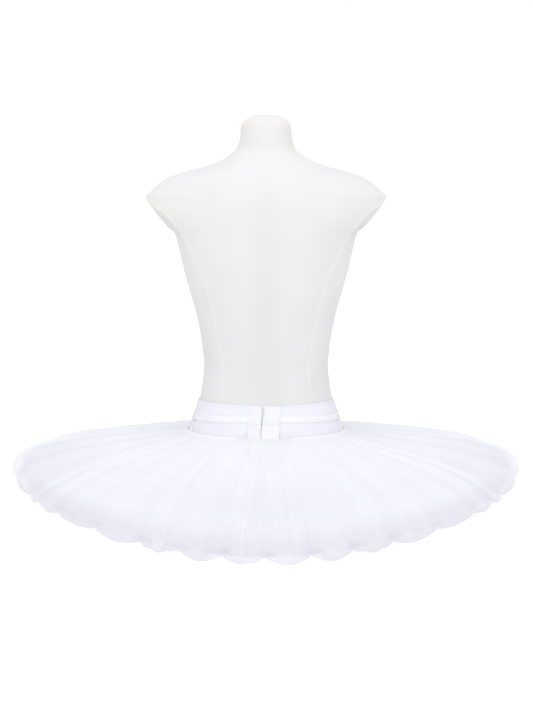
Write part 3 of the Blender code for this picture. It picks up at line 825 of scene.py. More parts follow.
# Seams of the cover by height: across from the centre line, on back and front.
PRINCESS_COLUMNS = ("height", "across_back", "across_front")
PRINCESS_ROWS = (
    (0.0000, 0.0960, 0.0700),
    (0.1980, 0.0860, 0.0700),
    (0.3149, 0.0760, 0.0640),
    (0.3890, 0.0870, 0.0720),
    (0.4750, 0.1077, 0.0840),
    (0.5330, 0.1353, 0.0880),
    (0.5635, 0.1530, 0.0900),
    (0.5920, 0.1780, 0.0915),
    (0.6076, 0.2030, 0.0925),
    (0.6156, 0.2160, 0.0930),
    (0.6600, 0.2600, 0.0940),
)
PRINCESS = columns_by_name(PRINCESS_COLUMNS, PRINCESS_ROWS)
PRINCESS_TOP = PRINCESS_ROWS[-1][0]
NECK_SEAM_HEIGHT = 0.6965
NECK_SEAM_DIP = 0.0040
NECK_SEAM_HALF_WIDTH = 0.0026
NECK_HALF_WIDTH = 0.055
CAP_SEAM_HEIGHT = 0.7545
CAP_SEAM_HALF_WIDTH = 0.0020
CAP_SEAM_SHARE = 0.6
SIDE_SEAM_HALF_WIDTH = 0.0022
SIDE_SEAM_SHARE = 0.5
TRUNK_TOP = 0.66                    # the trunk's seams fade out from here to the neck seam
NECK_TONE = (0.68, 0.70)            # heights between which the neck's tone takes over

# Painted shade over the blades and along the spine: distances out from the seam, heights and
# widths.
BLADE_EDGE = (0.0, 0.004)
BLADE_FADE = (0.008, 0.045)
BLADE_FADED = 0.7
BLADE_FOOT = (0.530, 0.560)
BLADE_TOP = (0.62, 0.66)
SPINE_SHARE = 0.35
SPINE_WIDTH = 0.022
SPINE_TOP = (0.60, 0.70)


def seam_line(distance, half_width=SEAM_HALF_WIDTH):
    """1 on a seam, fading to 0 at its half width."""
    return np.clip(1.0 - np.abs(distance) / half_width, 0.0, 1.0)


def princess_distance(points):
    """Distance outwards, square to the seam, of each point from the princess seam."""
    x, y, z = points.T
    lines = []
    for name in ("across_back", "across_front"):
        across, above, below = (
            smooth_values(PRINCESS["height"], PRINCESS[name], np.clip(level, 0.0, PRINCESS_TOP))
            for level in (z, z + SLOPE_STEP, z - SLOPE_STEP))
        slope = (above - below) / (2.0 * SLOPE_STEP)
        lines.append((np.abs(x) - across) / np.hypot(1.0, slope))
    return np.where(y > 0.0, *lines)


def form_seams(points):
    """1 on the seams of the cover and 0 away from them."""
    x, y, z = points.T
    trunk = 1.0 - smooth_step(TRUNK_TOP, NECK_SEAM_HEIGHT, z)
    princess = seam_line(princess_distance(points)) * trunk
    side = seam_line(y, SIDE_SEAM_HALF_WIDTH) * trunk * SIDE_SEAM_SHARE
    across = np.clip(x / NECK_HALF_WIDTH, -1.0, 1.0)
    neck_line = NECK_SEAM_HEIGHT - NECK_SEAM_DIP * np.cos(across * pi / 2.0)
    neck = seam_line(z - neck_line, NECK_SEAM_HALF_WIDTH)
    cap = seam_line(z - CAP_SEAM_HEIGHT, CAP_SEAM_HALF_WIDTH) * CAP_SEAM_SHARE
    return np.maximum.reduce((princess, side, neck, cap))


def form_painted_shade(points):
    """Painted shade: how far the cover is coloured darker over the shoulder blades and along the
    spine.
    """
    x, y, z = points.T
    beyond = princess_distance(points)
    faded = 1.0 - BLADE_FADED * smooth_step(*BLADE_FADE, beyond)
    level = smooth_step(*BLADE_FOOT, z) * (1.0 - smooth_step(*BLADE_TOP, z))
    blade = smooth_step(*BLADE_EDGE, beyond) * faded * level
    spine = SPINE_SHARE * np.exp(-(x / SPINE_WIDTH) ** 2) * (1.0 - smooth_step(*SPINE_TOP, z))
    return np.maximum(blade, spine * (y > 0.0))


def cut_shoulder(bm, side):
    """Cuts the arm off in the plane through shoulder tip and armpit, and closes the cut."""
    tip, pit = (Vector((side * across, 0.0, up)) for across, up in (SHOULDER_TIP, ARMPIT))
    along = (tip - pit).normalized()
    outward = Vector((side * along.z, 0.0, -abs(along.x)))
    arm = [f for f in bm.faces
           if all(v.co.z > pit.z - SEAM_GAP and side * v.co.x > 0.0 for v in f.verts)]
    edges = {e for f in arm for e in f.edges}
    verts = {v for f in arm for v in f.verts}
    cut = bmesh.ops.bisect_plane(bm, geom=list(verts) + list(edges) + arm, dist=1e-5,
                                 plane_co=pit, plane_no=outward, clear_outer=True)
    rim = [e for e in cut["geom_cut"] if isinstance(e, bmesh.types.BMEdge)]
    faces = bmesh.ops.contextual_create(bm, geom=rim)["faces"]
    for inset in RIM_INSETS:
        bmesh.ops.inset_region(bm, faces=faces, thickness=inset, depth=0.0)


def cut_shoulders(bm):
    """Cuts both arms off."""
    for side in (1.0, -1.0):
        cut_shoulder(bm, side)


def form_rings(top):
    """Rings of points round the form, from its foot to the cap below its top point."""
    knots = BODY["height"]
    spans = [(low, high, max(2, round((high - low) / FORM_RING_STEP)))
             for low, high in zip(knots, knots[1:])]
    heights = [low + (high - low) * k / steps for low, high, steps in spans for k in range(steps)]
    heights = np.array(heights + [knots[-1]])
    angles = 2.0 * pi * np.arange(FORM_COLUMNS) / FORM_COLUMNS
    rings = body_points(angles, heights[:, None])
    middle = np.array((top[0], top[1], knots[-1]))
    cap = [middle + (rings[-1] - middle) * shrink + (top - middle) * lift
           for shrink, lift in DOME_RINGS]
    return np.concatenate((rings, cap))


class TUTU_OT_dress_form(bpy.types.Operator):
    """Builds the limbless form in its jersey cover"""

    bl_idname = "tutu.dress_form"
    bl_label = "Dress Form"

    def execute(self, context):
        top = np.array((0.0, (BODY["back"][-1] - BODY["front"][-1]) / 2.0, CAP_TOP))
        rings = form_rings(top)
        points = rings.reshape(-1, 3).tolist() + [top.tolist()]
        faces = grid_faces(len(rings), FORM_COLUMNS, True).tolist()
        last = (len(rings) - 1) * FORM_COLUMNS
        faces += [(last + c, last + (c + 1) % FORM_COLUMNS, last + FORM_COLUMNS)
                  for c in range(FORM_COLUMNS)]
        faces.append(tuple(range(FORM_COLUMNS))[::-1])
        mesh = closed_mesh("form_cover", points, faces, FORM_SHARP_FROM, cut_shoulders)
        place = np.zeros(len(mesh.vertices) * 3)
        mesh.vertices.foreach_get("co", place)
        place = place.reshape(-1, 3)
        add_attribute(mesh, "seam", form_seams(place))
        # painted shade over the shoulder blades and along the spine
        add_attribute(mesh, "shade", form_painted_shade(place))
        add_attribute(mesh, "neck", smooth_step(*NECK_TONE, place[:, 2]))
        form = new_object("form_cover", mesh, form_material(context.scene.tutu_colours))
        finish_piece(form, "dress_form")
        return {"FINISHED"}


# ---------------------------------------------------------------- basque, tape and yoke

ROUND_STEPS = 260
BASQUE_EDGE = 0.0009
TOP_HUG = 0.0014        # how much closer the basque lies at its top edge


def basque_ripple(angle, height):
    """Small puckers that the gathers below draw into the satin."""
    fade = 1.0 - smooth_step(BASQUE_BOTTOM, BASQUE_BOTTOM + 0.018, height)
    return 0.00014 * fade * seeded_waves(angle, (61, 83, 47, 110), 5)


def basque_panel(name, angle, heights, fullness, thickness, material):
    """Rounded-edge wall of one panel, which its top edge holds close to the body."""
    ease = FORM_EASE - TOP_HUG * smooth_step(BASQUE_TOP - 0.006, BASQUE_TOP, heights)
    full = fullness * thickness + basque_ripple(angle, heights)
    return laid_wall(name, angle, heights, ease, full, material)[0]


def back_panel_angles(side, height):
    """Angles across a back panel, from its side seam to the opening."""
    seam = SEAM_GAP / 2.0 / body_size("back", height)
    start = seam if side > 0 else pi - seam
    end = angle_at_width(beside_slit(side, height), height)
    return np.linspace(start, end, ROUND_STEPS // 4, axis=-1)


def front_panel_angles(height):
    """Angles across the front panel, from side seam to side seam."""
    seam = SEAM_GAP / 2.0 / body_size("back", height)
    return np.linspace(-pi + seam, -seam, ROUND_STEPS // 2, axis=-1)


def tape_angles(height):
    """Angles all the way round from one edge of the opening to the other."""
    start, end = (angle_at_width(beside_slit(side, height), height) for side in (-1.0, 1.0))
    return np.linspace(start, 2.0 * pi + end, ROUND_STEPS, axis=-1)


def basque_flat(angles_at, heights, out):
    """Flat length and depth of a panel, measured along its middle."""
    middle = (heights[0] + heights[-1]) / 2.0
    side = body_points(np.zeros(len(heights)), heights, out)
    return path_length(body_points(angles_at(middle), middle, out)), path_length(side)


class TUTU_OT_basque(bpy.types.Operator):
    """Builds the satin basque in three panels and the yoke under the plate"""

    bl_idname = "tutu.basque"
    bl_label = "Basque and Yoke"

    def execute(self, context):
        sizes, colours = context.scene.tutu_sizes, context.scene.tutu_colours
        satin = satin_material("basque_satin_cloth", colours.satin)
        heights, fullness = rounded_rows(BASQUE_BOTTOM, BASQUE_TOP, BASQUE_EDGE, 16)
        panels = (
            ("basque_front_panel", "basque_front", front_panel_angles),
            ("basque_left_panel", "basque_back_left", partial(back_panel_angles, 1.0)),
            ("basque_right_panel", "basque_back_right", partial(back_panel_angles, -1.0)),
        )
        for name, node, angles_at in panels:
            angle = angles_at(heights[:, 0])
            panel = basque_panel(name, angle, heights, fullness, sizes.basque_wall, satin)
            out = FORM_EASE + sizes.basque_wall
            length, depth = basque_flat(angles_at, heights[:, 0], out)
            finish_piece(panel, node)
        heights, fullness = rounded_rows(YOKE_BOTTOM, BASQUE_BOTTOM - SEAM_GAP, BASQUE_EDGE, 14)
        angles = 2.0 * pi * np.arange(ROUND_STEPS) / ROUND_STEPS
        yoke, outer = laid_wall("hip_yoke_tube", angles, heights, FORM_EASE,
                                fullness * YOKE_WALL, satin, closed_round=True)
        ring = middle_row(outer[:-1])
        length = path_length(np.concatenate((ring, ring[:1])))
        finish_piece(yoke, "hip_yoke")
        return {"FINISHED"}


SIDE_STRIP_ANGLE = radians(12.0)
SIDE_STRIP_HALF_ANGLE = radians(4.5)


class TUTU_OT_tapes(bpy.types.Operator):
    """Builds the tape round the basque and the strips over its side seams"""

    bl_idname = "tutu.tapes"
    bl_label = "Tapes"

    def execute(self, context):
        sizes, colours = context.scene.tutu_sizes, context.scene.tutu_colours
        cloth = woven_material("tape_cloth", colours.tape, TAPE_THREADS, 0.70)
        offsets, fullness = rounded_rows(0.0, sizes.tape_width, BASQUE_EDGE, 8)
        angles = tape_angles(TAPE_LOW_AT_SIDE + TAPE_RISE_AT_BACK + offsets[:, 0])
        tape, outer = laid_wall("waist_tape_strip", angles, tape_low(angles) + offsets,
                                FORM_EASE + sizes.basque_wall + SEAM_GAP,
                                fullness * sizes.tape_wall, cloth)
        finish_piece(tape, "waist_tape")
        strip_cloth = woven_material("side_strip_cloth", colours.tape, TAPE_THREADS, 0.70)
        for name, node, centre in (("side_strip_left", "side_tape_left", SIDE_STRIP_ANGLE),
                                   ("side_strip_right", "side_tape_right", pi - SIDE_STRIP_ANGLE)):
            strip, width = side_strip(name, centre, sizes, strip_cloth)
            finish_piece(strip, node)
        return {"FINISHED"}


def strip_clearance(angle, height, sizes, top):
    """Distance out of a strip that lies over basque and tape, at a height."""
    over_basque = FORM_EASE + sizes.basque_wall + SEAM_GAP
    over_tape = over_basque + sizes.tape_wall + SEAM_GAP
    low = tape_low(angle)
    up = smooth_step(low - STEP_RUN, low - STEP_CLEAR, height)
    if top > TAPE_LOW_AT_SIDE + TAPE_RISE_AT_BACK + sizes.tape_width:
        high = low + sizes.tape_width
        up = up - smooth_step(high + STEP_CLEAR, high + STEP_RUN, height)
    return over_basque + (over_tape - over_basque) * up


def side_strip(name, centre, sizes, material):
    """Strip over a side seam with painted groove shade along its middle, and its width."""
    low = BASQUE_BOTTOM + 2.0 * SEAM_GAP
    heights, fullness = rounded_rows(low, SIDE_TAPE_TOP, BASQUE_EDGE, 18)
    across = np.linspace(-1.0, 1.0, 31)
    angles = centre + SIDE_STRIP_HALF_ANGLE * across
    clear = strip_clearance(angles, heights, sizes, SIDE_TAPE_TOP)
    thickness = fullness * rounded_sides(across, 8) * sizes.tape_wall
    strip, outer = laid_wall(name, angles, heights, clear, thickness, material)
    # where the painted groove shade lies: the strip's middle
    groove = np.broadcast_to(np.clip(1.3 - 5.0 * np.abs(across), 0.0, 1.0), outer.shape[:2])
    add_attribute(strip.data, "groove", np.stack((groove, groove)))
    return strip, path_length(middle_row(outer))


# ---------------------------------------------------------------- plackets

PLACKET_WALL = 0.0012
PLACKET_FLARE_POWER = 1.5
PLACKET_CREASE = 0.0009
UNDERLAP_HALF_WIDTH = 0.012
UNDERLAP_WALL = 0.0010


def placket_width(side, sizes):
    """Width of the left placket (+1) or the right one (-1)."""
    return sizes.placket_left_width if side > 0 else sizes.placket_right_width


def placket_out(share, height, side, sizes):
    """Angle and distance out of a placket: over the tape, then standing out and creased."""
    away = placket_width(side, sizes) * share
    angle = angle_at_width(beside_slit(side, height, away), height)
    clear = strip_clearance(pi / 2.0, height, sizes, PLACKET_TOP)
    foot_from = tape_low(pi / 2.0) - STEP_RUN
    drop = np.clip((foot_from - height) / (foot_from - PLACKET_LOW), 0.0, 1.0)
    flare = sizes.placket_flare * drop ** PLACKET_FLARE_POWER
    turn = 1.6 * share - 0.8 * drop + (0.1 if side > 0 else 0.4)
    crease = PLACKET_CREASE * drop * np.sin(2.0 * pi * turn) * smooth_step(0.0, 0.35, drop)
    return angle, clear + flare + crease


class TUTU_OT_plackets(bpy.types.Operator):
    """Builds the stiff strips beside the centre-back opening and the underlap behind it"""

    bl_idname = "tutu.plackets"
    bl_label = "Plackets"

    def execute(self, context):
        sizes, colours = context.scene.tutu_sizes, context.scene.tutu_colours
        cotton = woven_material("placket_cotton", colours.placket, COTTON_THREADS, 0.72)
        heights, fullness = rounded_rows(PLACKET_LOW, PLACKET_TOP, BASQUE_EDGE, 44)
        share = np.linspace(0.0, 1.0, 29)
        thickness = fullness * rounded_sides(2.0 * share - 1.0, 14) * PLACKET_WALL
        for name, node, side in (("placket_strip_left", "placket_left", 1.0),
                                 ("placket_strip_right", "placket_right", -1.0)):
            angle, out = placket_out(share, heights, side, sizes)
            strip, _ = laid_wall(name, angle, heights, out, thickness, cotton)
            placket_width(side, sizes)
            finish_piece(strip, node)
        cloth = woven_material("underlap_cloth", colours.underlap, COTTON_THREADS, 0.75)
        heights, fullness = rounded_rows(BASQUE_BOTTOM + SEAM_GAP, BASQUE_TOP - SEAM_GAP,
                                         BASQUE_EDGE, 14)
        across = beside_slit(0.0, heights) + UNDERLAP_HALF_WIDTH * np.linspace(1.0, -1.0, 15)
        underlap, _ = laid_wall("placket_under_strip", angle_at_width(across, heights), heights,
                                (FORM_EASE - UNDERLAP_WALL) / 2.0, fullness * UNDERLAP_WALL,
                                cloth)
        finish_piece(underlap, "placket_underlap")
        return {"FINISHED"}


# ---------------------------------------------------------------- stitches

TAPE_STITCH_INSET = 0.0016
TOP_STITCH_INSET = 0.0030
STRIP_STITCH_PLACE = 0.72       # share of the way from a side strip's middle to its side
STITCH_SHARE = 0.68             # share of the stitch pitch that shows as thread

# Stitch lines of the plackets: side, and corners as share of the way across and height.
PLACKET_STITCHES = (
    (1.0, ((0.20, 0.2505), (0.72, 0.2505), (0.72, 0.2140), (0.20, 0.2140), (0.20, 0.2505))),
    (1.0, ((0.08, 0.2525), (0.08, 0.2060))),
    (-1.0, ((0.07, 0.2525), (0.07, 0.2060))),
    (-1.0, ((0.92, 0.2525), (0.92, 0.2100))),
)


def stitch_tree():
    """Node tree that lays sewn stitches along the wire it is given."""
    tree = GeometryTree("sewn_stitches", ("Pitch", "Stitch Length", "Thickness"),
                        [("Thread", "NodeSocketMaterial")])
    node, given = tree.node, tree.given
    curve = node("GeometryNodeMeshToCurve", [("Mesh", given["Geometry"])]).outputs["Curve"]
    steps = node("GeometryNodeResampleCurve", [("Curve", curve), ("Length", given["Pitch"])],
                 mode="LENGTH").outputs["Curve"]
    points = node("GeometryNodeCurveToPoints", [("Curve", steps)], mode="EVALUATED").outputs
    bead = node("GeometryNodeMeshUVSphere", [("Segments", 6), ("Rings", 5), ("Radius", 0.5)])
    size = node("ShaderNodeCombineXYZ", [("X", given["Thickness"]), ("Y", given["Thickness"]),
                                         ("Z", given["Stitch Length"])])
    stitch = node("GeometryNodeTransform", [("Geometry", bead.outputs["Mesh"]),
                                            ("Scale", size.outputs["Vector"])])
    sewn = node("GeometryNodeInstanceOnPoints", [("Points", points["Points"]),
                                                 ("Rotation", points["Rotation"]),
                                                 ("Instance", stitch.outputs["Geometry"])])
    return tree.give(sewn.outputs["Instances"], given["Thread"])


def apply_nodes(source, tree, values, name, material):
    """Runs a node tree on an object and keeps the result as a plain mesh."""
    modifier = source.modifiers.new("build", "NODES")
    modifier.node_group = tree
    for item in tree.interface.items_tree:
        if item.item_type == "SOCKET" and item.in_out == "INPUT" and item.name in values:
            modifier[item.identifier] = values[item.name]
    bpy.context.view_layer.update()
    graph = bpy.context.evaluated_depsgraph_get()
    mesh = bpy.data.meshes.new_from_object(
        source.evaluated_get(graph), preserve_all_data_layers=True, depsgraph=graph)
    old = source.data
    bpy.data.objects.remove(source, do_unlink=True)
    bpy.data.meshes.remove(old)
    mesh.name = name
    return new_object(name, mesh, material)


def wires(name, paths):
    """Wire object of several open paths of points."""
    vertices, edges = [], []
    for path in paths:
        first = len(vertices)
        vertices += [tuple(p) for p in path]
        edges += [(first + k, first + k + 1) for k in range(len(path) - 1)]
    return new_object(name, new_mesh(name, vertices, edges))


def placket_path(corners, side, sizes):
    """Path on a placket's face through corners given as (share across, height)."""
    path = []
    for start, end in zip(corners, corners[1:]):
        share, height = np.linspace(start, end, 14).T
        angle, out = placket_out(share, height, side, sizes)
        path += list(body_points(angle, height, out + PLACKET_WALL))
    return path


def strip_path(centre, side, sizes):
    """Path up the face of a side strip, on one side of its middle."""
    height = np.linspace(BASQUE_BOTTOM + 0.002, SIDE_TAPE_TOP - 0.001, 24)
    angle = centre + side * STRIP_STITCH_PLACE * SIDE_STRIP_HALF_ANGLE
    clear = strip_clearance(angle, height, sizes, SIDE_TAPE_TOP)
    return body_points(angle, height, clear + sizes.tape_wall)


class TUTU_OT_stitches(bpy.types.Operator):
    """Sews the topstitching along basque, tape and plackets"""

    bl_idname = "tutu.stitches"
    bl_label = "Stitching"

    def execute(self, context):
        sizes, colours = context.scene.tutu_sizes, context.scene.tutu_colours
        basque_face = FORM_EASE + sizes.basque_wall
        tape_face = basque_face + SEAM_GAP + sizes.tape_wall
        paths = []
        for inset in (TAPE_STITCH_INSET, sizes.tape_width - TAPE_STITCH_INSET):
            angles = tape_angles(TAPE_LOW_AT_SIDE + inset)
            paths.append(body_points(angles, tape_low(angles) + inset, tape_face))
        height = BASQUE_TOP - TOP_STITCH_INSET
        paths.append(body_points(tape_angles(height), height, basque_face))
        paths += [placket_path(corners, side, sizes) for side, corners in PLACKET_STITCHES]
        paths += [strip_path(centre, side, sizes)
                  for centre in (SIDE_STRIP_ANGLE, pi - SIDE_STRIP_ANGLE) for side in (-1.0, 1.0)]
        thread = thread_material(colours)
        values = {"Pitch": sizes.stitch_pitch, "Stitch Length": STITCH_SHARE * sizes.stitch_pitch,
                  "Thickness": sizes.stitch_thickness, "Thread": thread}
        source = wires("stitch_lines", paths)
        stitches = apply_nodes(source, stitch_tree(), values, "topstitching", thread)
        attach(stitches, BODY_NAME)
        return {"FINISHED"}


# ---------------------------------------------------------------- nets

TOP_NET_COLUMNS = 1560
TOP_NET_ROWS = 58
LOWER_NET_COLUMNS = 720
LOWER_NET_ROWS = 26
SCALLOP_POWER = 5.0     # the scallops fade quickly inwards from the rim
SCALLOP_SHARE = 0.90    # share of a notch's depth by which the net reaches out between notches
SCALLOP_ROUNDNESS = 0.55
NOTCH_DEPTHS = (0.85, 1.10)     # least and most of a notch's depth
RAGGED_EDGE = 0.0005
NET_CLEAR = 0.0003
LOWER_ROOT_DROP = 0.0009
LOWER_BROAD_SHARE = 0.6         # height of the lower nets' broad gathers against the top one's
LOWER_NET_PAINTED_SHADE = 0.012             # painted shade: how much darker each next net down is coloured
RIM_CROWDING = 1.35             # powers that draw the rows together at rim and root
ROOT_CROWDING = 1.5
GATHER_HEIGHT_HIP = 0.0006
GATHER_HEIGHT_RIM = 0.0018
GATHER_FROM = 0.15      # share of the way to the rim over which the gathers rise
FOLD_FADE_IN = 0.2      # shares of the way to the rim over which a fold's tones come and go
FOLD_FADE_OUT = 0.15
BULGE = 0.0032          # rise of the crowded net below the plackets
BULGE_SIDES = (16.0, 22.0)      # degrees from centre back between which it ends
BULGE_REACH = 0.11
BULGE_POWER = 1.2
FOOT_RISE = 0.0014      # how much higher the net meets the feet of the plackets
FOOT_PLACE = 0.020      # share of the way to the rim where their feet stand
NET_LIP = 0.0026        # how far the top net's root turns up the basque
NET_LIP_REACH = 0.016   # share of the way to the rim that the turn takes
ROOT_ROWS = 4

# The net that flares from the opening: its half width in degrees along the way to the rim.
OPENING_PLACES = (0.0, 0.14, 0.30, 0.40)
OPENING_HALF_WIDTHS = (18.0, 11.5, 5.5, 3.0)
OPENING_SIDE = (0.0, 1.2)
OPENING_END = (0.26, 0.40)

# Gathers: width, its share of their length, power of their rise from the hip, sharp ridges.
GATHERS = (
    ("Fine", 0.0055, 0.008, 0.7, True),
    ("Small", 0.016, 0.024, 0.8, True),
    ("Broad", 0.055, 0.07, 1.0, False),
)

# Sheer tips of the rim: degrees from centre back where each starts and ends, and how sheer.
SHEER_FROM = (0.955, 0.985)
SHEER_FADE = 0.4
SHEER_ROWS = (
    (0.8, 5.2, 0.35),
    (5.2, 8.0, 0.25),
    (9.5, 11.7, 0.5),
    (78.0, 98.0, 0.3),
)


def notch_angles():
    """Notches between scallops all the way round, in degrees, closed at 360."""
    half = QUARTER_NOTCHES + (90.0,) + tuple(180.0 - a for a in reversed(QUARTER_NOTCHES[1:]))
    return np.array(half + tuple(180.0 + a for a in half) + (360.0,))


def scallop_place(angle, layer):
    """Number of the scallop at an angle of a net, and the share of the way across it."""
    turn = SCALLOP_STAGGER * layer
    notches = notch_angles()
    degrees = (np.degrees(angle) - turn) % 360.0
    number = np.clip(np.searchsorted(notches, degrees, side="right") - 1, 0, len(notches) - 2)
    share = (degrees - notches[number]) / (notches[number + 1] - notches[number])
    return number, share


def plate_fall(angle, along, sizes):
    """Fall of the plate below the hip line at a share of the way to the rim."""
    turned = np.sin(angle)
    back = sizes.plate_droop_back * np.maximum(turned, 0.0) ** PLATE_BACK_POWER
    front = sizes.plate_droop_front * np.minimum(turned, 0.0) ** 2
    total = sizes.plate_droop_side + back + front
    return total * (PLATE_FLAT_SHARE * along + (1.0 - PLATE_FLAT_SHARE) * along ** PLATE_CURL_POWER)


def fold_away(fold, angle, along):
    """Distance from a fold's ridge, in half widths of the fold."""
    centre = np.radians(fold.hip_angle + (fold.rim_angle - fold.hip_angle) * along)
    return ((angle - centre + pi) % (2.0 * pi) - pi) / radians(fold.half_angle)


def fold_rise(angle, along):
    """Height of the pressed folds of the top net."""
    rise = 0.0
    for fold in FOLDS:
        away = np.abs(fold_away(fold, angle, along))
        across = np.clip(1.0 - away, 0.0, 1.0) ** fold.sharpness
        share = np.maximum((along - fold.start) / (fold.end - fold.start), 0.0)
        rise += fold.rise * across * np.sin(pi / 2.0 * np.minimum(share / FOLD_HOLD, 1.0))
    return rise


def fold_crease(angle, along):
    """+1 on the lit side of the pressed folds, -1 on their shaded side, 0 away from them."""
    crease = 0.0
    for fold in FOLDS:
        away = fold_away(fold, angle, along)
        across = -4.0 * away * np.clip(1.0 - np.abs(away), 0.0, 1.0)
        ended = smooth_step(fold.end - FOLD_FADE_OUT, fold.end, along)
        share = smooth_step(fold.start, fold.start + FOLD_FADE_IN, along) * (1.0 - ended)
        crease += across * share * fold.rise / FOLD_TALL
    return np.clip(crease * np.sign(np.cos(angle)), -1.0, 1.0)


def from_centre_back(angle):
    """Degrees away from centre back, on either side."""
    return np.abs((np.degrees(angle) - 90.0 + 180.0) % 360.0 - 180.0)


def bulge_below_plackets(angle, along):
    """Rise of the crowded net that meets the feet of the plackets."""
    across = 1.0 - smooth_step(*BULGE_SIDES, from_centre_back(angle))
    foot = 1.0 - smooth_step(0.0, FOOT_PLACE, np.abs(along - FOOT_PLACE))
    arch = np.sin(pi * np.clip(along / BULGE_REACH, 0.0, 1.0)) ** BULGE_POWER
    return across * (BULGE * arch + FOOT_RISE * foot)


def root_lip(along):
    """Rise of the top net's root, which turns up against the basque's foot."""
    return NET_LIP * (1.0 - np.clip(along / NET_LIP_REACH, 0.0, 1.0)) ** 2


def shorter_by(layer, sizes):
    """How far inside the top net's rim a lower net ends."""
    return sizes.lower_net_shorter + (layer - 1) * sizes.lower_net_step if layer else 0.0


def net_root(layer, angle, sizes):
    """Points where a net is sewn on: the top one at the basque's foot, the rest on the yoke."""
    if layer:
        height = BASQUE_BOTTOM - LOWER_ROOT_DROP - layer * NET_ROOT_PITCH
        return body_points(angle, height, FORM_EASE + YOKE_WALL + NET_CLEAR)
    out = FORM_EASE + sizes.basque_wall + NET_CLEAR
    return body_points(angle, BASQUE_BOTTOM + NET_CLEAR, out)


def net_points(layer, angle, along, sizes):
    """Middle of one net's thickness on a grid of angles and shares of the way to the rim."""
    number, share = scallop_place(angle, layer)
    root_x, root_y, root_height = np.moveaxis(net_root(layer, angle, sizes), -1, 0)
    root_radius = np.hypot(root_x, root_y)
    full_radius = sizes.plate_radius + HEM_UNEVEN * np.cos(4.0 * angle) - shorter_by(layer, sizes)
    random = np.random.default_rng(100 + layer)
    depth_share = random.uniform(*NOTCH_DEPTHS, len(notch_angles()))[number]
    cut = 1.0 - SCALLOP_SHARE * np.sin(pi * share) ** SCALLOP_ROUNDNESS
    ragged = RAGGED_EDGE * seeded_waves(angle, (173, 229, 311, 97), 40 + layer)
    deeper = sizes.scallop_depth - sizes.scallop_depth_side
    depth = (sizes.scallop_depth_side + deeper * np.sin(angle) ** 4) * cut * depth_share
    rim_radius = full_radius - (depth - ragged) * along ** SCALLOP_POWER
    x = root_x + (rim_radius * np.cos(angle) - root_x) * along
    y = root_y + (rim_radius * np.sin(angle) - root_y) * along
    reach = along * (rim_radius - root_radius) / (sizes.plate_radius - root_radius)
    wave = np.cos(2.0 * pi * share) * (-1.0 if layer else 1.0)
    gather = GATHER_HEIGHT_HIP + (GATHER_HEIGHT_RIM - GATHER_HEIGHT_HIP) * along
    rise = np.minimum(1.0, along / GATHER_FROM) * gather * wave
    if layer == 0:
        rise = rise + fold_rise(angle, along) + bulge_below_plackets(angle, along) + root_lip(along)
    spread = layer * (NET_RIM_PITCH - NET_ROOT_PITCH) * reach
    z = root_height - spread - plate_fall(angle, reach, sizes) + rise
    return np.stack((x, y, z), axis=-1)


def opening_patch(angle, along):
    """1 on the net that flares from the centre-back opening over the plate."""
    half = np.interp(along, OPENING_PLACES, OPENING_HALF_WIDTHS)
    across = 1.0 - smooth_step(*OPENING_SIDE, from_centre_back(angle) - half)
    return across * (1.0 - smooth_step(*OPENING_END, along))


def sheer_rim(angle, along):
    """1 where the top net's rim lies alone and lets the floor show through, and where the material
    paints shade.
    """
    away = from_centre_back(angle)
    tips = 0.0
    for low, high, strength in SHEER_ROWS:
        ended = smooth_step(high - SHEER_FADE, high, away)
        tips += strength * smooth_step(low, low + SHEER_FADE, away) * (1.0 - ended)
    return tips * smooth_step(*SHEER_FROM, along)


def gather_wave(tree, ring, along, gather):
    """Height of one kind of gather: noise stretched from hip to rim."""
    label, _, lengthways, power, ridged = gather
    math, times = tree.math, tree.times
    turns = math("DIVIDE", 1.0, tree.given[label + " Width"])
    parts = tree.node("ShaderNodeSeparateXYZ", [("Vector", ring)]).outputs
    place = tree.node("ShaderNodeCombineXYZ", [("X", times(parts["X"], turns)),
                                               ("Y", times(parts["Y"], turns)),
                                               ("Z", times(parts["Z"], times(turns, lengthways)))])
    noise = tree.node("ShaderNodeTexNoise", [("Vector", place.outputs["Vector"]), ("Scale", 1.0),
                                             ("Detail", 1.0), ("W", tree.given["Seed"])],
                      noise_dimensions="4D")
    wave = math("SUBTRACT", noise.outputs["Fac"], 0.5)
    if ridged:
        wave = math("SUBTRACT", 0.35, times(math("ABSOLUTE", wave), 3.0))
    else:
        wave = times(wave, 2.0)
    ramp = math("POWER", math("MINIMUM", times(along, 4.0), 1.0), power)
    return times(times(wave, ramp), tree.given[label + " Height"])


def gather_tree():
    """Node tree that draws gathers and hair-fine creases into a net, from hip to rim."""
    lengths = [label + measure for measure in (" Height", " Width") for label, *_ in GATHERS]
    tree = GeometryTree("net_gathers", lengths,
                        [("Seed", "NodeSocketFloat"), ("Cloth", "NodeSocketMaterial")])
    ring, along = (tree.node("GeometryNodeInputNamedAttribute", [("Name", name)],
                             data_type=kind).outputs["Attribute"]
                   for name, kind in (("ring", "FLOAT_VECTOR"), ("along", "FLOAT")))
    fine, small, broad = (gather_wave(tree, ring, along, gather) for gather in GATHERS)
    lift = tree.node("ShaderNodeCombineXYZ", [("Z", tree.plus(tree.plus(fine, small), broad))])
    moved = tree.node("GeometryNodeSetPosition", [("Geometry", tree.given["Geometry"]),
                                                  ("Offset", lift.outputs["Vector"])])
    return tree.give(moved.outputs["Geometry"], tree.given["Cloth"])


def net_rows(count, at_root=0):
    """Shares of the way from hip to rim, closer together at the rim and, if asked, at the root."""
    rows = 1.0 - (1.0 - np.linspace(0.0, 1.0, count)) ** RIM_CROWDING
    extra = rows[1] * (np.arange(1, at_root + 1) / (at_root + 1)) ** ROOT_CROWDING
    return np.concatenate((rows[:1], extra, rows[1:]))


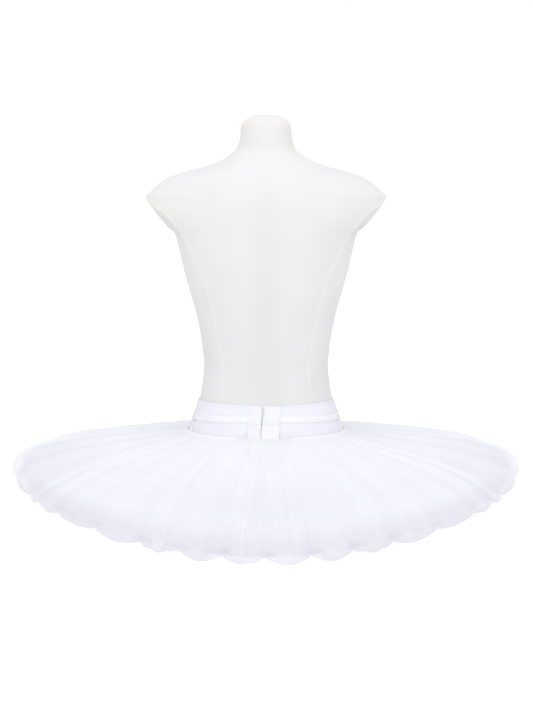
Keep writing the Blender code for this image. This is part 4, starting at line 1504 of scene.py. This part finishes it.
def net_uv(mesh, columns, along_rows):
    """Places on the flat net in hole pitches, cut open where the ring closes."""
    corner = corner_points(mesh)
    column, row = corner % columns, corner // columns
    wraps = (np.arange(len(corner)) // 4 % columns == columns - 1) & (column == 0)
    turn = np.where(wraps, 0.0, 1.0 - column / columns)
    up = along_rows[row] * NET_STREAK_LENGTH / NET_HOLE_PITCH
    return np.stack((turn * NET_ROUND, up), axis=-1)


def net_sheet(layer, sizes, material, tree):
    """One net: a flat ring of cloth with its values for the material, then gathered."""
    columns = LOWER_NET_COLUMNS if layer else TOP_NET_COLUMNS
    along_rows = net_rows(LOWER_NET_ROWS) if layer else net_rows(TOP_NET_ROWS, ROOT_ROWS)
    angles = -pi / 2.0 + 2.0 * pi * np.arange(columns) / columns
    angle, along = np.meshgrid(angles[::-1], along_rows)
    points = net_points(layer, angle, along, sizes)
    name = f"net_layer_{layer + 1}"
    faces = grid_faces(len(along_rows), columns, True)
    mesh = new_mesh(name + "_flat", points.reshape(-1, 3).tolist(), faces=faces.tolist())
    mesh.shade_smooth()
    ring = np.stack((NET_STREAK_RADIUS * np.cos(angle), NET_STREAK_RADIUS * np.sin(angle),
                     along * NET_STREAK_LENGTH), axis=-1)
    add_attribute(mesh, "ring", ring, "FLOAT_VECTOR")
    facing = np.maximum(np.sin(angle), 0.0)     # 1 at centre back, 0 in the front half
    # where the material paints shade: the near half, the back and the far sides
    values = {
        "along": along,
        "near": facing ** 2,
        "back": 0.3 + 0.7 * smooth_step(0.0, 0.35, facing),
        "beside": np.cos(angle) ** 4 * smooth_step(-0.25, 0.0, np.sin(angle)),
    }
    if layer == 0:
        values["opening"] = opening_patch(angle, along)
        values["sheer"] = sheer_rim(angle, along)
        values["crease"] = fold_crease(angle, along)
    for attribute, value in values.items():
        add_attribute(mesh, attribute, value)
    add_uv(mesh, net_uv(mesh, columns, along_rows))
    inputs = {label + " Width": width for label, width, *_ in GATHERS}
    inputs.update({
        "Fine Height": sizes.fine_gather, "Small Height": sizes.small_gather,
        "Broad Height": sizes.broad_gather * (LOWER_BROAD_SHARE if layer else 1.0),
        "Seed": float(sizes.seed + 7 * layer), "Cloth": material,
    })
    return apply_nodes(new_object(mesh.name, mesh, material), tree, inputs, name, material)


class TUTU_OT_nets(bpy.types.Operator):
    """Builds the plate: rings of gathered net with scalloped rims, one under the other"""

    bl_idname = "tutu.nets"
    bl_label = "Net Plate"

    def execute(self, context):
        sizes, colours = context.scene.tutu_sizes, context.scene.tutu_colours
        tree = gather_tree()
        for layer in range(NET_COUNT):
            cloth = net_material(f"nylon_net_{layer + 1}", colours, 1.0 - LOWER_NET_PAINTED_SHADE * layer)
            net = net_sheet(layer, sizes, cloth, tree)
            rim = 2.0 * pi * (sizes.plate_radius - shorter_by(layer, sizes))
            width = NET_WIDTH - shorter_by(layer, sizes)
            finish_piece(net, f"net_{layer + 1}")
        return {"FINISHED"}


# ---------------------------------------------------------------- stage

COOL_WHITE = (0.920, 0.930, 1.000)
FLOOR_HALF = 40.0
FLOOR_COLOUR = (0.30, 0.30, 0.30)
FLOOR_GLOW = 0.84

# Soft boxes: size, colour, place and the point that each is aimed at.
OVERHEAD_BOX = ((5.0, 5.0), COOL_WHITE, (0.0, 0.6, 6.0), (0.0, 0.0, 0.2))
FILL_BOX = ((2.6, 1.8), WHITE[:3], (0.0, 3.6, 1.6), (0.0, 0.0, 0.4))


def glowing_material(name, colour, glow):
    """Matte material that gives some light of its own."""
    finish = Finish(name, colour, 0.9)
    finish.set("Specular IOR Level", 0.0)
    finish.set("Emission Color", WHITE)
    finish.set("Emission Strength", glow)
    return finish.material


def soft_box(name, power, size, colour, place, aim):
    """Rectangular light aimed at a point."""
    light = bpy.data.lights.new(name, "AREA")
    light.color = colour
    light.shape = "RECTANGLE"
    light.size, light.size_y = size
    light.energy = power
    box = new_object(name, light)
    box.location = place
    box.rotation_euler = (Vector(aim) - Vector(place)).to_track_quat("-Z", "Y").to_euler()


class TUTU_OT_stage(bpy.types.Operator):
    """Sets up the pale floor, soft light and camera"""

    bl_idname = "tutu.stage"
    bl_label = "Stage"

    def execute(self, context):
        scene, settings = context.scene, context.scene.tutu_stage
        corners = [(x * FLOOR_HALF, y * FLOOR_HALF, 0.0)
                   for x, y in ((-1.0, -1.0), (1.0, -1.0), (1.0, 1.0), (-1.0, 1.0))]
        cloth = glowing_material("pale_floor", FLOOR_COLOUR, FLOOR_GLOW)
        floor = new_object("floor", new_mesh("floor", corners, faces=[(0, 1, 2, 3)]), cloth)
        world = bpy.data.worlds.new("soft_surround")
        world.use_nodes = True
        air = Tree(world.node_tree)
        seen = air.node("ShaderNodeLightPath").outputs["Is Camera Ray"]
        strength = air.node("ShaderNodeMapRange", [("Value", seen), ("To Min", settings.surround),
                                                   ("To Max", 1.0)])
        background = world.node_tree.nodes["Background"].inputs
        air.feed(background["Color"], WHITE)
        air.feed(background["Strength"], strength.outputs["Result"])
        scene.world = world
        scene.view_settings.view_transform = "Standard"
        soft_box("overhead_box", settings.overhead, *OVERHEAD_BOX)
        soft_box("fill_box", settings.fill, *FILL_BOX)
        lens = bpy.data.cameras.new("camera")
        lens.lens = settings.camera_lens
        lens.sensor_fit = "VERTICAL"
        lens.sensor_height = 36.0
        camera = new_object("camera", lens)
        camera.location = (settings.camera_across, settings.camera_distance, settings.camera_height)
        camera.rotation_euler = (pi / 2.0 - settings.camera_tilt, 0.0, pi)
        scene.camera = camera
        return {"FINISHED"}


# ---------------------------------------------------------------- panel and run

PIECE_OPERATORS = (
    TUTU_OT_dress_form,
    TUTU_OT_basque,
    TUTU_OT_tapes,
    TUTU_OT_plackets,
    TUTU_OT_stitches,
    TUTU_OT_nets,
    TUTU_OT_stage,
)


class TUTU_PT_build(bpy.types.Panel):
    """Buttons for the pieces of the tutu"""

    bl_label = "Tutu"
    bl_idname = "TUTU_PT_build"
    bl_space_type = "VIEW_3D"
    bl_region_type = "UI"
    bl_category = "Tutu"

    def draw(self, context):
        for operator in PIECE_OPERATORS:
            self.layout.operator(operator.bl_idname)


CLASSES = (TutuSizes, TutuColours, StageSettings) + PIECE_OPERATORS + (TUTU_PT_build,)


def register():
    """Adds the settings, operators and panel."""
    for cls in CLASSES:
        bpy.utils.register_class(cls)
    bpy.types.Scene.tutu_sizes = PointerProperty(type=TutuSizes)
    bpy.types.Scene.tutu_colours = PointerProperty(type=TutuColours)
    bpy.types.Scene.tutu_stage = PointerProperty(type=StageSettings)


def unregister():
    """Takes them away again."""
    del bpy.types.Scene.tutu_stage
    del bpy.types.Scene.tutu_colours
    del bpy.types.Scene.tutu_sizes
    for cls in reversed(CLASSES):
        bpy.utils.unregister_class(cls)


def main():
    """Builds everything."""
    register()
    bpy.ops.tutu.dress_form()
    bpy.ops.tutu.basque()
    bpy.ops.tutu.tapes()
    bpy.ops.tutu.plackets()
    bpy.ops.tutu.stitches()
    bpy.ops.tutu.nets()
    bpy.ops.tutu.stage()


if __name__ == "__main__":
    main()
